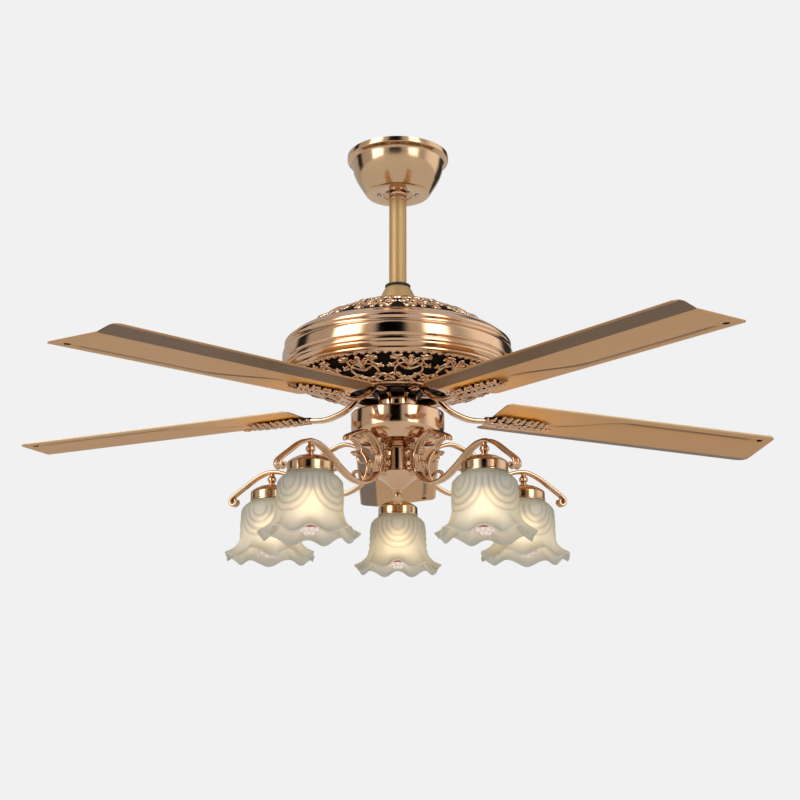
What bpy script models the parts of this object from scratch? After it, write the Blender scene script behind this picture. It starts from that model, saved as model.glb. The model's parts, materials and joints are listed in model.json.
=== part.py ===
"""Ceiling fan with five blades and a light kit of five glass shades.

Metres, +Z up. The origin is the centre of the hanger bracket's top face, which lies against the ceiling.
The fan hangs below it: canopy, downrod, motor housing, rotor with blades, switch cup, arms and lamps.
"""

import math

import bmesh
import bpy
from mathutils import Matrix, Vector

# Gap between pieces that touch, and the walls of the pressed and spun shells.
GAP = 0.0003
WALL = 0.0016

# Hanger: a ball on the downrod sits in a ring seat, which sits in the bracket's socket.
BALL_Z = -0.036
BALL_R = 0.024
SEAT_IN_R = BALL_R + 0.0005
SEAT_OUT_R = SEAT_IN_R + 0.003
SOCKET_R = SEAT_OUT_R + 0.0005
SOCKET_OUT_R = 0.033
SCREW_REACH = 0.031

# Canopy, downrod and the cover over the rod's lower end.
CANOPY_R = 0.084
CANOPY_DEPTH = 0.0685
CANOPY_HOLE_R = 0.025
ROD_R = 0.0142
ROD_BORE_R = 0.0120
ROD_TOP = -0.015
ROD_BOTTOM = -0.2515
PIN_R = 0.003
YOKE_PIN_Z = -0.2425

# Motor. The shaft and the stator stand still, and the rotor turns round them.
SHAFT_R = 0.0087
SHAFT_BORE_R = 0.0060
HUB_BORE_R = 0.0183
HOUSING_R = 0.1855
TRIM_Z = -0.3807
GRILLE_RING_R = 0.0775

# Rotor: five irons under the flange carry five blades.
COUNT = 5
FIRST_AZIMUTH = math.radians(90)
BLADE_TIP_R = 0.670
BLADE_ROOT_R = 0.160
BLADE_SLANT = 0.025
BLADE_CHORD_ROOT = 0.148
BLADE_CHORD_TIP = 0.154
BLADE_FOLD = 0.22
BLADE_FOLD_ANGLE = math.radians(12)
BLADE_CORNER = 0.012
BLADE_SHEET = 0.0015
BLADE_PITCH = math.radians(-5)
BLADE_DROOP = math.radians(2.55)
BLADE_UNEVEN = math.radians(1.6)
# For each blade: the side of its fold, the sense of its pitch, and whether it hangs lower or higher.
BLADE_SETS = {1: (1, 1, 1), 2: (-1, 1, 0), 3: (1, 1, 1), 4: (-1, -1, -1), 5: (1, 1, 0)}
IRON_WIDTH = 0.020
IRON_THICK = 0.004
LEAF_ROOT_R = 0.148
LEAF_TIP_R = 0.268
LEAF_TOP_Z = -0.4380
LEAF_THICK = 0.009

# Light kit.
CUP_R = 0.0744
COLUMN_R = 0.026
LAMP_CIRCLE_R = 0.2147
ARM_WIDTH = 0.0145
ARM_THICK = 0.006
HOLDER_R = 0.034
SHADE_RIM_R = 0.0775
RUFFLES = 8
RUFFLE_TOP = -0.630
RUFFLE_RISE = 0.003
RUFFLE_REACH = 0.0015

# Faces round a turned piece: large, middling and small.
ROUND_LARGE = 28
ROUND_MIDDLE = 20
ROUND_SMALL = 12


def start_scene():
    """Empties the scene and returns the collections for parts and for cutters."""
    for old in list(bpy.data.objects):
        bpy.data.objects.remove(old, do_unlink=True)
    made = []
    for name in ("ceiling_fan", "cutters"):
        group = bpy.data.collections.new(name)
        bpy.context.scene.collection.children.link(group)
        made.append(group)
    return made


PARTS, CUTTERS = start_scene()


def finish(name, colour, metallic, roughness):
    """A Principled material with one colour, given as linear red, green and blue."""
    made = bpy.data.materials.new(name)
    made.use_nodes = True
    shader = made.node_tree.nodes["Principled BSDF"]
    shader.inputs["Base Color"].default_value = (*colour, 1)
    shader.inputs["Metallic"].default_value = metallic
    shader.inputs["Roughness"].default_value = roughness
    made.diffuse_color = (*colour, 1)
    return made


POLISHED = finish("polished_rose_gold", (0.80, 0.48, 0.27), 1, 0.12)
SATIN = finish("satin_gold", (0.58, 0.38, 0.20), 1, 0.38)
SHEET = finish("champagne_sheet", (0.42, 0.27, 0.14), 0.7, 0.45)
STEEL = finish("zinc_steel", (0.55, 0.55, 0.56), 1, 0.35)
LAMINATION = finish("core_steel", (0.20, 0.20, 0.22), 1, 0.5)
RUBBER = finish("black_rubber", (0.01, 0.01, 0.01), 0, 0.7)
NYLON = finish("white_nylon", (0.75, 0.75, 0.72), 0, 0.5)
PLASTIC = finish("black_plastic", (0.02, 0.02, 0.02), 0, 0.45)
GLASS = finish("frosted_glass", (0.72, 0.74, 0.66), 0, 0.55)
BULB = finish("warm_bulb", (0.95, 0.88, 0.72), 0, 0.3)


def add(name, mesh, material, parent=None):
    """Links a mesh as a part under a parent empty."""
    obj = bpy.data.objects.new(name, mesh)
    PARTS.objects.link(obj)
    if not mesh.materials:
        mesh.materials.append(material)
    obj.parent = parent
    return obj


def pivot(name, place=(0, 0, 0), turn=0.0, parent=None):
    """An empty that its pieces are placed from, turned about the vertical."""
    empty = bpy.data.objects.new(name, None)
    bpy.context.scene.collection.objects.link(empty)
    empty.location = place
    empty.rotation_euler = (0, 0, turn)
    empty.parent = parent
    return empty


def cutter(obj):
    """Moves an object to the cutters: it shapes others and isn't a part."""
    PARTS.objects.unlink(obj)
    CUTTERS.objects.link(obj)
    obj.hide_render = True
    obj.display_type = "WIRE"
    return obj


def combine(obj, other, operation):
    """Adds an exact Boolean of two solids."""
    modifier = obj.modifiers.new(operation.title(), "BOOLEAN")
    modifier.solver = "EXACT"
    modifier.operation = operation
    modifier.object = cutter(other)
    return obj


def frozen(obj):
    """Returns an object's evaluated mesh, with its caps welded, and removes the object."""
    bpy.context.view_layer.update()
    evaluated = obj.evaluated_get(bpy.context.evaluated_depsgraph_get())
    mesh = bpy.data.meshes.new_from_object(evaluated)
    mesh.transform(obj.matrix_world)
    edit = bmesh.new()
    edit.from_mesh(mesh)
    bmesh.ops.remove_doubles(edit, verts=edit.verts, dist=0.00001)
    edit.to_mesh(mesh)
    edit.free()
    operands = [m.object for m in obj.modifiers if m.type == "BOOLEAN"]
    for old in [obj, *operands]:
        bpy.data.objects.remove(old, do_unlink=True)
    mesh.shade_smooth()
    mesh.set_sharp_from_angle(angle=math.radians(35))
    return mesh


def turned(name, profile, material, parent=None, faces=ROUND_MIDDLE, ring=True):
    """Spins (radius, height) points round Z. The profile runs down its outer side.

    A ring's profile is a closed loop; otherwise it starts and ends on the axis.
    """
    mesh = bpy.data.meshes.new(name)
    edit = bmesh.new()
    points = [edit.verts.new((radius, 0, height)) for radius, height in profile]
    pairs = list(zip(points, points[1:]))
    if ring:
        pairs.append((points[-1], points[0]))
    for first, second in pairs:
        edit.edges.new((first, second))
    edit.to_mesh(mesh)
    edit.free()
    obj = add(name, mesh, material, parent)
    screw = obj.modifiers.new("Turn", "SCREW")
    screw.steps = faces
    screw.render_steps = faces
    screw.use_merge_vertices = True
    screw.merge_threshold = 0.00001
    screw.use_smooth_shade = True
    return obj


def rod(name, radius, start, end, material, parent=None, faces=ROUND_SMALL):
    """A plain round bar between two points."""
    start, end = Vector(start), Vector(end)
    edit = bmesh.new()
    length = (end - start).length
    aim = (end - start).to_track_quat("Z", "Y").to_matrix().to_4x4()
    place = Matrix.Translation((start + end) / 2) @ aim
    bmesh.ops.create_cone(
        edit, cap_ends=True, segments=faces, radius1=radius, radius2=radius, depth=length, matrix=place
    )
    mesh = bpy.data.meshes.new(name)
    edit.to_mesh(mesh)
    edit.free()
    mesh.shade_smooth()
    mesh.set_sharp_from_angle(angle=math.radians(35))
    return add(name, mesh, material, parent)


def block(name, low, high, material, parent=None, rounding=0.0):
    """A box between two corners, with its edges rounded where a radius is given."""
    low, high = Vector(low), Vector(high)
    edit = bmesh.new()
    place = Matrix.Translation((low + high) / 2) @ Matrix.Diagonal((*(high - low), 1))
    bmesh.ops.create_cube(edit, size=1, matrix=place)
    mesh = bpy.data.meshes.new(name)
    edit.to_mesh(mesh)
    edit.free()
    obj = add(name, mesh, material, parent)
    if rounding:
        bevel = obj.modifiers.new("Bevel", "BEVEL")
        bevel.width = rounding
        bevel.segments = 2
    return obj


def smooth_route(points, steps):
    """Points on a Catmull-Rom curve through the given (x, y) points."""
    ends = [2 * Vector(points[0]) - Vector(points[1]), 2 * Vector(points[-1]) - Vector(points[-2])]
    knots = [ends[0], *map(Vector, points), ends[1]]
    route = []
    for a, b, c, d in zip(knots, knots[1:], knots[2:], knots[3:]):
        for step in range(steps):
            t = step / steps
            curve = (2 * b + (c - a) * t + (2 * a - 5 * b + 4 * c - d) * t**2)
            curve += (3 * b - a - 3 * c + d) * t**3
            route.append(curve / 2)
    route.append(knots[-2])
    return route


def strap(name, route, width, thick, material):
    """A flat bar with rounded edges, bent in the upright plane of (radius, height) points."""
    curve = bpy.data.curves.new(name, "CURVE")
    curve.dimensions = "3D"
    curve.twist_mode = "Z_UP"
    curve.bevel_depth = thick / 2
    curve.bevel_resolution = 0
    curve.extrude = (width - thick) / 2
    curve.use_fill_caps = True
    spline = curve.splines.new("POLY")
    spline.points.add(len(route) - 1)
    for point, (radius, height) in zip(spline.points, route):
        point.co = (radius, height, 0, 1)
    obj = bpy.data.objects.new(name, curve)
    PARTS.objects.link(obj)
    obj.rotation_euler = (math.pi / 2, 0, 0)
    mesh = frozen(obj)
    return add(name, mesh, material)


def azimuths():
    """The number and the turn of each of the evenly spaced blades or lamps."""
    return [(i + 1, FIRST_AZIMUTH + math.tau * i / COUNT) for i in range(COUNT)]


def arc(radius, low, high, steps):
    """(radius, height) points on a sphere about the ball's centre, between two heights."""
    heights = [low + (high - low) * i / steps for i in range(steps + 1)]
    return [(math.sqrt(radius**2 - h**2), BALL_Z + h) for h in heights]


def hanger(root, seat, hanging):
    """Bracket, canopy and screws, then the ring seat, the ball, its pin and the downrod."""
    socket = [(SOCKET_OUT_R, BALL_Z - 0.004), (SOCKET_OUT_R, BALL_Z - 0.016)]
    socket += arc(SOCKET_R, -0.016, -0.004, 4)
    bracket = turned("hanger_bracket", socket, STEEL)
    plate = block("plate", (-0.052, -0.018, -0.0025), (0.052, 0.018, 0), STEEL)
    combine(bracket, plate, "UNION")
    for side in (-1, 1):
        near, far = sorted((side * 0.0295, side * 0.0325))
        leg = block("leg", (near, -0.011, BALL_Z - 0.010), (far, 0.011, -0.001), STEEL)
        combine(bracket, leg, "UNION")
        lug_x = side * SCREW_REACH
        lug = rod("lug", 0.0048, (lug_x, 0, -0.062), (lug_x, 0, BALL_Z - 0.010), STEEL)
        combine(bracket, lug, "UNION")
        bore = rod("lug_bore", 0.0022, (lug_x, 0, -0.070), (lug_x, 0, -0.054), STEEL)
        combine(bracket, bore, "DIFFERENCE")
    bracket_mesh = frozen(bracket)
    add("hanger_bracket", bracket_mesh, STEEL, root)

    outer = [
        (CANOPY_R, -0.0005), (CANOPY_R, -0.0090), (0.0768, -0.0125), (0.0735, -0.0290),
        (0.0635, -0.0500), (0.0515, -CANOPY_DEPTH), (CANOPY_HOLE_R, -CANOPY_DEPTH),
    ]
    inner = [
        (CANOPY_HOLE_R, -CANOPY_DEPTH + WALL), (0.0505, -CANOPY_DEPTH + WALL), (0.0617, -0.0500),
        (0.0716, -0.0290), (0.0750, -0.0115), (CANOPY_R - WALL, -0.0070), (CANOPY_R - WALL, -0.0005),
    ]
    canopy = turned("canopy", outer + inner, SATIN, root, ROUND_LARGE)
    for number, x in ((1, -SCREW_REACH), (2, SCREW_REACH)):
        hole = rod("screw_hole", 0.0022, (x, 0, -0.072), (x, 0, -0.064), STEEL)
        combine(canopy, hole, "DIFFERENCE")
        head = -CANOPY_DEPTH - GAP
        screw = [(0, -0.0555), (0.0018, -0.0555), (0.0018, head), (0.0035, head), (0.0031, head - 0.0018)]
        screw.append((0, head - 0.0020))
        turned(f"canopy_screw_{number}", screw, STEEL, root, ROUND_SMALL, False).location.x = x

    ring = arc(SEAT_OUT_R, -0.0035, -0.0145, 4) + arc(SEAT_IN_R, -0.0145, -0.0035, 4)
    turned("ball_seat_ring", [(r, z - BALL_Z) for r, z in ring], NYLON, seat)

    bore_r = ROD_R + GAP
    half = math.sqrt(BALL_R**2 - bore_r**2)
    ball = [(r, z - BALL_Z) for r, z in arc(BALL_R, half, -half, 8)]
    ball_solid = turned("hanger_ball", ball, PLASTIC, hanging)
    pin_hole = rod("ball_pin_hole", PIN_R + GAP, (-0.03, 0, BALL_Z), (0.03, 0, BALL_Z), STEEL)
    combine(ball_solid, pin_hole, "DIFFERENCE")
    rod("ball_pin", PIN_R, (-0.0215, 0, 0), (0.0215, 0, 0), STEEL, hanging)
    tube = [(ROD_R, ROD_TOP), (ROD_R, ROD_BOTTOM), (ROD_BORE_R, ROD_BOTTOM), (ROD_BORE_R, ROD_TOP)]
    downrod = turned("downrod", [(r, z - BALL_Z) for r, z in tube], SATIN, hanging)
    for height, radius in ((BALL_Z, PIN_R), (YOKE_PIN_Z, PIN_R)):
        hole = rod("rod_hole", radius + GAP, (-0.02, 0, height), (0.02, 0, height), STEEL)
        combine(downrod, hole, "DIFFERENCE")


def motor(hanging, spin):
    """Rubber ring, yoke and cover, housing, and the motor inside it."""
    bore = ROD_R + GAP
    turned("rubber_ring", [(bore, -0.2264), (0.0200, -0.2264), (0.0208, -0.2275), (0.0208, -0.2292),
                           (0.0200, -0.2303), (bore, -0.2303)], RUBBER, hanging)
    turned("yoke_cover", [(bore, -0.2306), (0.0192, -0.2306), (0.0205, -0.2320), (0.0285, -0.2475),
                          (0.0340, -0.2606), (0.0326, -0.2606), (0.0270, -0.2475), (0.0190, -0.2322),
                          (bore, -0.2320)], SATIN, hanging)
    shaft_hole = SHAFT_R + GAP
    yoke = turned("motor_yoke", [(bore, -0.2330), (0.0178, -0.2330), (0.0178, -0.2520), (0.0268, -0.2530),
                                 (0.0268, -0.2600), (shaft_hole, -0.2600), (shaft_hole, -0.2530),
                                 (bore, -0.2520)], STEEL, hanging)
    pin_hole = rod("yoke_pin_hole", PIN_R + GAP, (-0.03, 0, YOKE_PIN_Z), (0.03, 0, YOKE_PIN_Z), STEEL)
    combine(yoke, pin_hole, "DIFFERENCE")
    rod("clevis_pin", PIN_R, (-0.0212, 0, YOKE_PIN_Z), (0.0212, 0, YOKE_PIN_Z), STEEL, hanging)

    dome_out = [
        (0.0120, -0.2603), (0.0350, -0.2612), (0.0600, -0.2655), (0.0950, -0.2780), (0.1300, -0.2965),
        (0.1540, -0.3110), (0.1770, -0.3260), (0.1815, -0.3330), (0.1810, -0.3400), (HOUSING_R, -0.3470),
        (HOUSING_R, -0.3640), (0.1835, -0.3680), (0.1835, -0.3750), (0.1780, TRIM_Z - 0.0008),
    ]
    dome_in = [
        (0.1780, -0.3700), (0.1833, -0.3640), (0.1833, -0.3490), (0.1792, -0.3420), (0.1797, -0.3340),
        (0.1760, -0.3278), (0.1530, -0.3125), (0.0940, -0.2798), (0.0600, -0.2675), (0.0120, -0.2622),
    ]
    turned("housing_dome", dome_out + dome_in, POLISHED, hanging, ROUND_LARGE)

    rim = 0.1780 - GAP
    grille = [
        (rim, -0.3790), (rim, -0.3832), (0.1600, -0.3915), (0.1300, -0.4025), (0.0900, -0.4120),
        (0.0840, -0.4150), (GRILLE_RING_R, -0.4150), (GRILLE_RING_R, -0.4095), (0.0900, -0.4095),
        (0.1300, -0.4000), (0.1600, -0.3890), (0.1730, -0.3825), (0.1730, -0.3790),
    ]
    grille_solid = turned("housing_grille", grille, POLISHED, hanging, ROUND_LARGE)
    for index in range(2 * COUNT):
        turn = FIRST_AZIMUTH + math.tau * index / (2 * COUNT)
        x, y = 0.128 * math.cos(turn), 0.128 * math.sin(turn)
        window = rod("window", 0.016, (x, y, -0.42), (x, y, -0.38), POLISHED, None, 8)
        combine(grille_solid, window, "DIFFERENCE")

    turned("motor_shaft", [(SHAFT_R, -0.2535), (SHAFT_R, -0.4150), (SHAFT_BORE_R, -0.4150),
                           (SHAFT_BORE_R, -0.2535)], STEEL, hanging, ROUND_SMALL)
    for name, top in (("bearing_top", -0.2945), ("bearing_bottom", -0.3893)):
        turned(name, [(shaft_hole, top), (0.0180, top), (0.0180, top - 0.0080), (shaft_hole, top - 0.0080)],
               STEEL, hanging, ROUND_MIDDLE)
    turned("stator", [(shaft_hole, -0.3180), (0.0300, -0.3180), (0.0300, -0.3240), (0.1045, -0.3260),
                      (0.1045, -0.3660), (0.0300, -0.3700), (0.0300, -0.3780), (shaft_hole, -0.3780)],
           LAMINATION, hanging, ROUND_MIDDLE)
    turned("rotor", [(HUB_BORE_R, -0.2930), (0.0260, -0.2930), (0.0400, -0.2990), (0.1120, -0.3090),
                     (0.1200, -0.3150), (0.1200, -0.3800), (0.1100, -0.3900), (0.0725, -0.3980),
                     (0.0725, -0.4045), (0.0365, -0.4045), (0.0365, -0.3985), (HUB_BORE_R, -0.3985),
                     (HUB_BORE_R, -0.3880), (0.0700, -0.3880), (0.1060, -0.3760), (0.1060, -0.3180),
                     (0.0400, -0.3060), (HUB_BORE_R, -0.3060)], LAMINATION, spin, ROUND_MIDDLE)


def blade_place(number, radius, height):
    """The frame of a blade's sheet: X out along it, Y across its chord, drooped and pitched."""
    _, sense, uneven = BLADE_SETS[number]
    droop = Matrix.Rotation(BLADE_DROOP + uneven * BLADE_UNEVEN, 4, "Y")
    pitch = Matrix.Rotation(BLADE_PITCH * sense, 4, "X")
    return Matrix.Translation((radius, 0, height)) @ droop @ pitch


def leaf_outline():
    """Half the plan of an iron's leaf, from its root to its point: two lobes and a tip."""
    return [(0, 0.010), (0.016, 0.017), (0.032, 0.0280), (0.050, 0.0235), (0.074, 0.0250), (0.100, 0.0150),
            (LEAF_TIP_R - LEAF_ROOT_R, 0.0015)]


def iron_mesh(number):
    """A bent strap from the rotor's flange, and the leaf that the blade is screwed to."""
    top = -0.4045 - GAP - IRON_THICK / 2
    flat = LEAF_TOP_Z - LEAF_THICK * 0.62
    bends = [(0.040, top), (0.052, top), (0.063, top - 0.001), (0.073, top - 0.0105), (0.086, -0.4295),
             (0.102, -0.4375), (0.125, flat - 0.0005), (0.157, flat)]
    iron = strap("iron", smooth_route(bends, 2), IRON_WIDTH, IRON_THICK, POLISHED)
    curve = bpy.data.curves.new("leaf", "CURVE")
    curve.dimensions = "2D"
    curve.fill_mode = "BOTH"
    curve.extrude = LEAF_THICK / 2
    half = [tuple(p) for p in smooth_route(leaf_outline(), 2)]
    outline = half + [(x, -y) for x, y in reversed(half)]
    spline = curve.splines.new("POLY")
    spline.points.add(len(outline) - 1)
    spline.use_cyclic_u = True
    for point, (x, y) in zip(spline.points, outline):
        point.co = (x, y, 0, 1)
    leaf = bpy.data.objects.new("leaf", curve)
    PARTS.objects.link(leaf)
    drop = Matrix.Translation((0, 0, -LEAF_THICK / 2))
    leaf.matrix_world = blade_place(number, LEAF_ROOT_R, LEAF_TOP_Z) @ drop
    combine(iron, add("leaf_solid", frozen(leaf), POLISHED), "UNION")
    return frozen(iron)


def blade_mesh(number):
    """A flat sheet with round corners, a slanted tip and one long edge folded."""
    edit = bmesh.new()
    bmesh.ops.create_grid(edit, x_segments=1, y_segments=2, size=1)
    edit.verts.ensure_lookup_table()
    corners = []
    for vert in edit.verts:
        along, across = vert.co.x, vert.co.y
        tip = along > 0
        chord = BLADE_CHORD_TIP if tip else BLADE_CHORD_ROOT
        if abs(across) > 0.5:
            side = chord / 2 * across
            corners.append(vert)
        else:
            side = chord * (0.5 - BLADE_FOLD)
        slant = BLADE_SLANT * (side / chord - 0.5) if tip else 0
        reach = BLADE_TIP_R - BLADE_ROOT_R if tip else 0
        vert.co = (reach + slant, side, 0)
    bmesh.ops.bevel(edit, geom=corners, offset=BLADE_CORNER, segments=3, profile=0.5, affect="VERTICES")
    for vert in edit.verts:
        reach = max(0.0, min(1.0, vert.co.x / (BLADE_TIP_R - BLADE_ROOT_R)))
        chord = BLADE_CHORD_ROOT + (BLADE_CHORD_TIP - BLADE_CHORD_ROOT) * reach
        past = vert.co.y - chord * (0.5 - BLADE_FOLD)
        vert.co.z = max(0.0, past) * math.tan(BLADE_FOLD_ANGLE)
        vert.co.y *= BLADE_SETS[number][0]
    edit.transform(Matrix.Translation((BLADE_ROOT_R - LEAF_ROOT_R, 0, GAP)))
    edit.transform(blade_place(number, LEAF_ROOT_R, LEAF_TOP_Z))
    bmesh.ops.recalc_face_normals(edit, faces=edit.faces)
    if sum(face.normal.z for face in edit.faces) < 0:
        bmesh.ops.reverse_faces(edit, faces=edit.faces)
    mesh = bpy.data.meshes.new("blade")
    edit.to_mesh(mesh)
    edit.free()
    sheet = add("blade_sheet", mesh, SHEET)
    solid = sheet.modifiers.new("Sheet", "SOLIDIFY")
    solid.thickness = BLADE_SHEET
    solid.offset = 1
    solid.use_even_offset = True
    return frozen(sheet)


def blades(spin):
    """Five irons and five blades round the rotor."""
    for number, turn in azimuths():
        shapes = (("blade_iron", iron_mesh(number), POLISHED), ("blade", blade_mesh(number), SHEET))
        for kind, mesh, material in shapes:
            piece = add(f"{kind}_{number}", mesh, material, spin)
            piece.rotation_euler = (0, 0, turn)


def switch_housing(hanging):
    """Neck, switch cup with the receiver inside it, column, cone and finial."""
    shaft_hole = SHAFT_R + GAP
    turned("fitter_neck", [(shaft_hole, -0.4000), (0.0305, -0.4000), (0.0320, -0.4015), (0.0320, -0.4422),
                           (0.0300, -0.4422), (0.0300, -0.4030), (shaft_hole, -0.4030)], POLISHED, hanging)
    turned("switch_cup", [(0.0200, -0.4425), (0.0730, -0.4425), (CUP_R, -0.4440), (CUP_R, -0.4700),
                          (0.0715, -0.4810), (0.0620, -0.4905), (0.0440, -0.4975), (0.0240, -0.4998),
                          (0.0240, -0.4982), (0.0435, -0.4958), (0.0612, -0.4889), (0.0700, -0.4802),
                          (0.0728, -0.4700), (0.0728, -0.4441), (0.0200, -0.4441)],
           POLISHED, hanging, ROUND_LARGE)
    block("receiver", (-0.036, -0.021, -0.478), (0.036, 0.021, -0.452), PLASTIC, hanging, 0.003)
    turned("kit_column", [(0.0230, -0.5001), (COLUMN_R, -0.5001), (COLUMN_R, -0.5380), (0.0230, -0.5380)],
           POLISHED, hanging)
    turned("kit_cone", [(0, -0.5383), (0.0370, -0.5383), (0.0395, -0.5395), (0.0395, -0.5412),
                        (0.0330, -0.5455), (0.0220, -0.5525), (0.0120, -0.5610), (0.0060, -0.5676),
                        (0, -0.5676)], SATIN, hanging, ROUND_MIDDLE, False)
    ball = 0.0068
    centre = -0.5748
    steps = 8
    angles = [math.pi * (0.17 + 0.83 * i / steps) for i in range(steps + 1)]
    finial = [(ball * math.sin(a), centre + ball * math.cos(a)) for a in angles[:-1]]
    top = centre + ball * math.cos(angles[0])
    turned("finial", [(0, top), *finial, (0, centre - ball)], POLISHED, hanging, ROUND_SMALL, False)


def arm_mesh():
    """A strap bent from a curl, round a volute at the column, up to the lamp and down to its end curl."""
    bends = [
        (0.124, -0.507), (0.110, -0.493), (0.088, -0.4865), (0.064, -0.4960), (0.0495, -0.5190),
        (0.0560, -0.5480), (0.0830, -0.5655), (0.1150, -0.5660), (0.1500, -0.5510), (0.1860, -0.5300),
        (LAMP_CIRCLE_R, -0.5240), (0.2380, -0.5310), (0.2620, -0.5470), (0.2800, -0.5600),
        (0.2870, -0.5670),
    ]
    arm = strap("arm", smooth_route(bends, 2), ARM_WIDTH, ARM_THICK, POLISHED)
    lug = block("arm_lug", (COLUMN_R + 0.0005, -0.003, -0.534), (0.0500, 0.003, -0.5025), POLISHED)
    combine(arm, lug, "UNION")
    post = [(0, -0.5235), (0.0038, -0.5235), (0.0038, -0.5320), (0.0062, -0.5355), (0.0062, -0.5400),
            (0.0038, -0.5430), (0.0038, -0.5560), (0, -0.5560)]
    stud = turned("stud", post, POLISHED, None, 12, False)
    stud.location.x = LAMP_CIRCLE_R
    combine(arm, stud, "UNION")
    return frozen(arm)


def shade_mesh():
    """A bell of glass whose rim is drawn into ruffles, about its own axis."""
    profile = [
        (0.0322, -0.5600), (0.0322, -0.5725), (0.0485, -0.5850), (0.0500, -0.6280), (0.0570, -0.6460),
        (SHADE_RIM_R, -0.6610), (SHADE_RIM_R - 0.0015, -0.6635), (0.0548, -0.6480), (0.0474, -0.6290),
        (0.0458, -0.5870), (0.0297, -0.5745), (0.0297, -0.5600),
    ]
    mesh = frozen(turned("shade", profile, GLASS, None, 4 * RUFFLES))
    for vert in mesh.vertices:
        low = max(0.0, (RUFFLE_TOP - vert.co.z) / (RUFFLE_TOP + 0.6625)) ** 1.5
        wave = low * math.cos(RUFFLES * math.atan2(vert.co.y, vert.co.x))
        out = Vector((vert.co.x, vert.co.y, 0)).normalized()
        vert.co += out * RUFFLE_REACH * wave + Vector((0, 0, RUFFLE_RISE * wave))
    return mesh


def lamp_meshes():
    """The pieces of one lamp about its own axis, by node name, with their finishes."""
    hole = 0.0038 + GAP
    holder = [
        (hole, -0.5455), (0.0170, -0.5470), (HOLDER_R, -0.5570), (HOLDER_R, -0.5715),
        (HOLDER_R - 0.0014, -0.5715), (HOLDER_R - 0.0014, -0.5580), (0.0165, -0.5486), (hole, -0.5471),
    ]
    socket = [(0, -0.5564), (0.0150, -0.5564), (0.0190, -0.5600), (0.0190, -0.5980), (0.0148, -0.5980),
              (0.0148, -0.5660), (0, -0.5660)]
    bulb = [(0, -0.5680), (0.0134, -0.5700), (0.0134, -0.5985), (0.0198, -0.6040), (0.0198, -0.6440),
            (0.0120, -0.6590), (0, -0.6635)]
    return {
        "shade_holder": (frozen(turned("holder", holder, SATIN)), SATIN),
        "shade": (shade_mesh(), GLASS),
        "lamp_socket": (frozen(turned("socket", socket, NYLON, None, ROUND_SMALL, False)), NYLON),
        "bulb": (frozen(turned("bulb", bulb, BULB, None, ROUND_SMALL, False)), BULB),
    }


def light_kit(hanging):
    """Five arms round the column, each with a holder, socket, bulb and shade."""
    arm = arm_mesh()
    pieces = lamp_meshes()
    for number, turn in azimuths():
        station = pivot(f"lamp_station_{number}", turn=turn, parent=hanging)
        add(f"lamp_arm_{number}", arm, POLISHED, station)
        for kind, (mesh, material) in pieces.items():
            piece = add(f"{kind}_{number}", mesh, material, station)
            piece.location.x = LAMP_CIRCLE_R


def main():
    root = pivot("ceiling_mount")
    ball_centre = (0, 0, BALL_Z)
    seat = pivot("seat_swing", ball_centre, parent=root)
    ball = pivot("ball_swing", parent=seat)
    hanging = pivot("fan_frame", (0, 0, -BALL_Z), parent=ball)
    spin = pivot("fan_spin", parent=hanging)
    hanger(root, seat, ball)
    motor(hanging, spin)
    blades(spin)
    switch_housing(hanging)
    light_kit(hanging)


main()
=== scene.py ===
"""Ceiling fan with light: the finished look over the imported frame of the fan.

Metres, +Z up, the ceiling at height 0. Every piece rides on a body of the frame.
"""

import json
import math

import bmesh
import bpy
from mathutils import Matrix, Vector

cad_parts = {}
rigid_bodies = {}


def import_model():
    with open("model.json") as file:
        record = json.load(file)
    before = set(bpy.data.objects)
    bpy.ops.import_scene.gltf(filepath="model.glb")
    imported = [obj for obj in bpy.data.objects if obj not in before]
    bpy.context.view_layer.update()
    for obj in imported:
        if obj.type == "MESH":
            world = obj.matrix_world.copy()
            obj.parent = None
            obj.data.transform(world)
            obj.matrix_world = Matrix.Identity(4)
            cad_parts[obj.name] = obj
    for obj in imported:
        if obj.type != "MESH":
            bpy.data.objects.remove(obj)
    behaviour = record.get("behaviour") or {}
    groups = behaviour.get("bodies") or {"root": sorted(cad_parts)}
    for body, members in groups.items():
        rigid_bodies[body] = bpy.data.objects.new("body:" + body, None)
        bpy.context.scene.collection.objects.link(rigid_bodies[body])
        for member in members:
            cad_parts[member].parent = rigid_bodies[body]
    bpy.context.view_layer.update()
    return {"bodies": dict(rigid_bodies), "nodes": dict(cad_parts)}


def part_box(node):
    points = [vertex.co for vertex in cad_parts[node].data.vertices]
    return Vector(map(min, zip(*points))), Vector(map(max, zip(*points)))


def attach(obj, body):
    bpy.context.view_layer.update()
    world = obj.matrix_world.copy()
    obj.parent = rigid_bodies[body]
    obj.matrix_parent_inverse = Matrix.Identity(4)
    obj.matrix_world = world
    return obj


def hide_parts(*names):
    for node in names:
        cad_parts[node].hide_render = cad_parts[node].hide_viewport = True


bl_info = {
    "name": "Ceiling Fan With Light",
    "version": (1, 0, 0),
    "blender": (4, 5, 0),
    "location": "View3D > Sidebar > Fan",
    "description": "Builds the shells, scrollwork, blades, arms and glass of a ceiling fan",
    "category": "Object",
}

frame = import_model()
NODES = frame["nodes"]

MOUNT = "ceiling_mount"
HANGING = "fan_frame"
SPINNING = "rotor"
COUNT = 5
LAMP_TURNS = [math.radians(90) + math.tau * i / COUNT for i in range(COUNT)]


def linear(code):
    """Linear red, green and blue of an sRGB hex colour."""
    parts = [int(code[i : i + 2], 16) / 255 for i in (1, 3, 5)]
    return [c / 12.92 if c <= 0.04045 else ((c + 0.055) / 1.055) ** 2.4 for c in parts]


def half_width(name):
    """Half the width of a frame node along X."""
    low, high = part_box(name)
    return (high.x - low.x) / 2


# ---------------------------------------------------------------- sizes and colours


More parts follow.
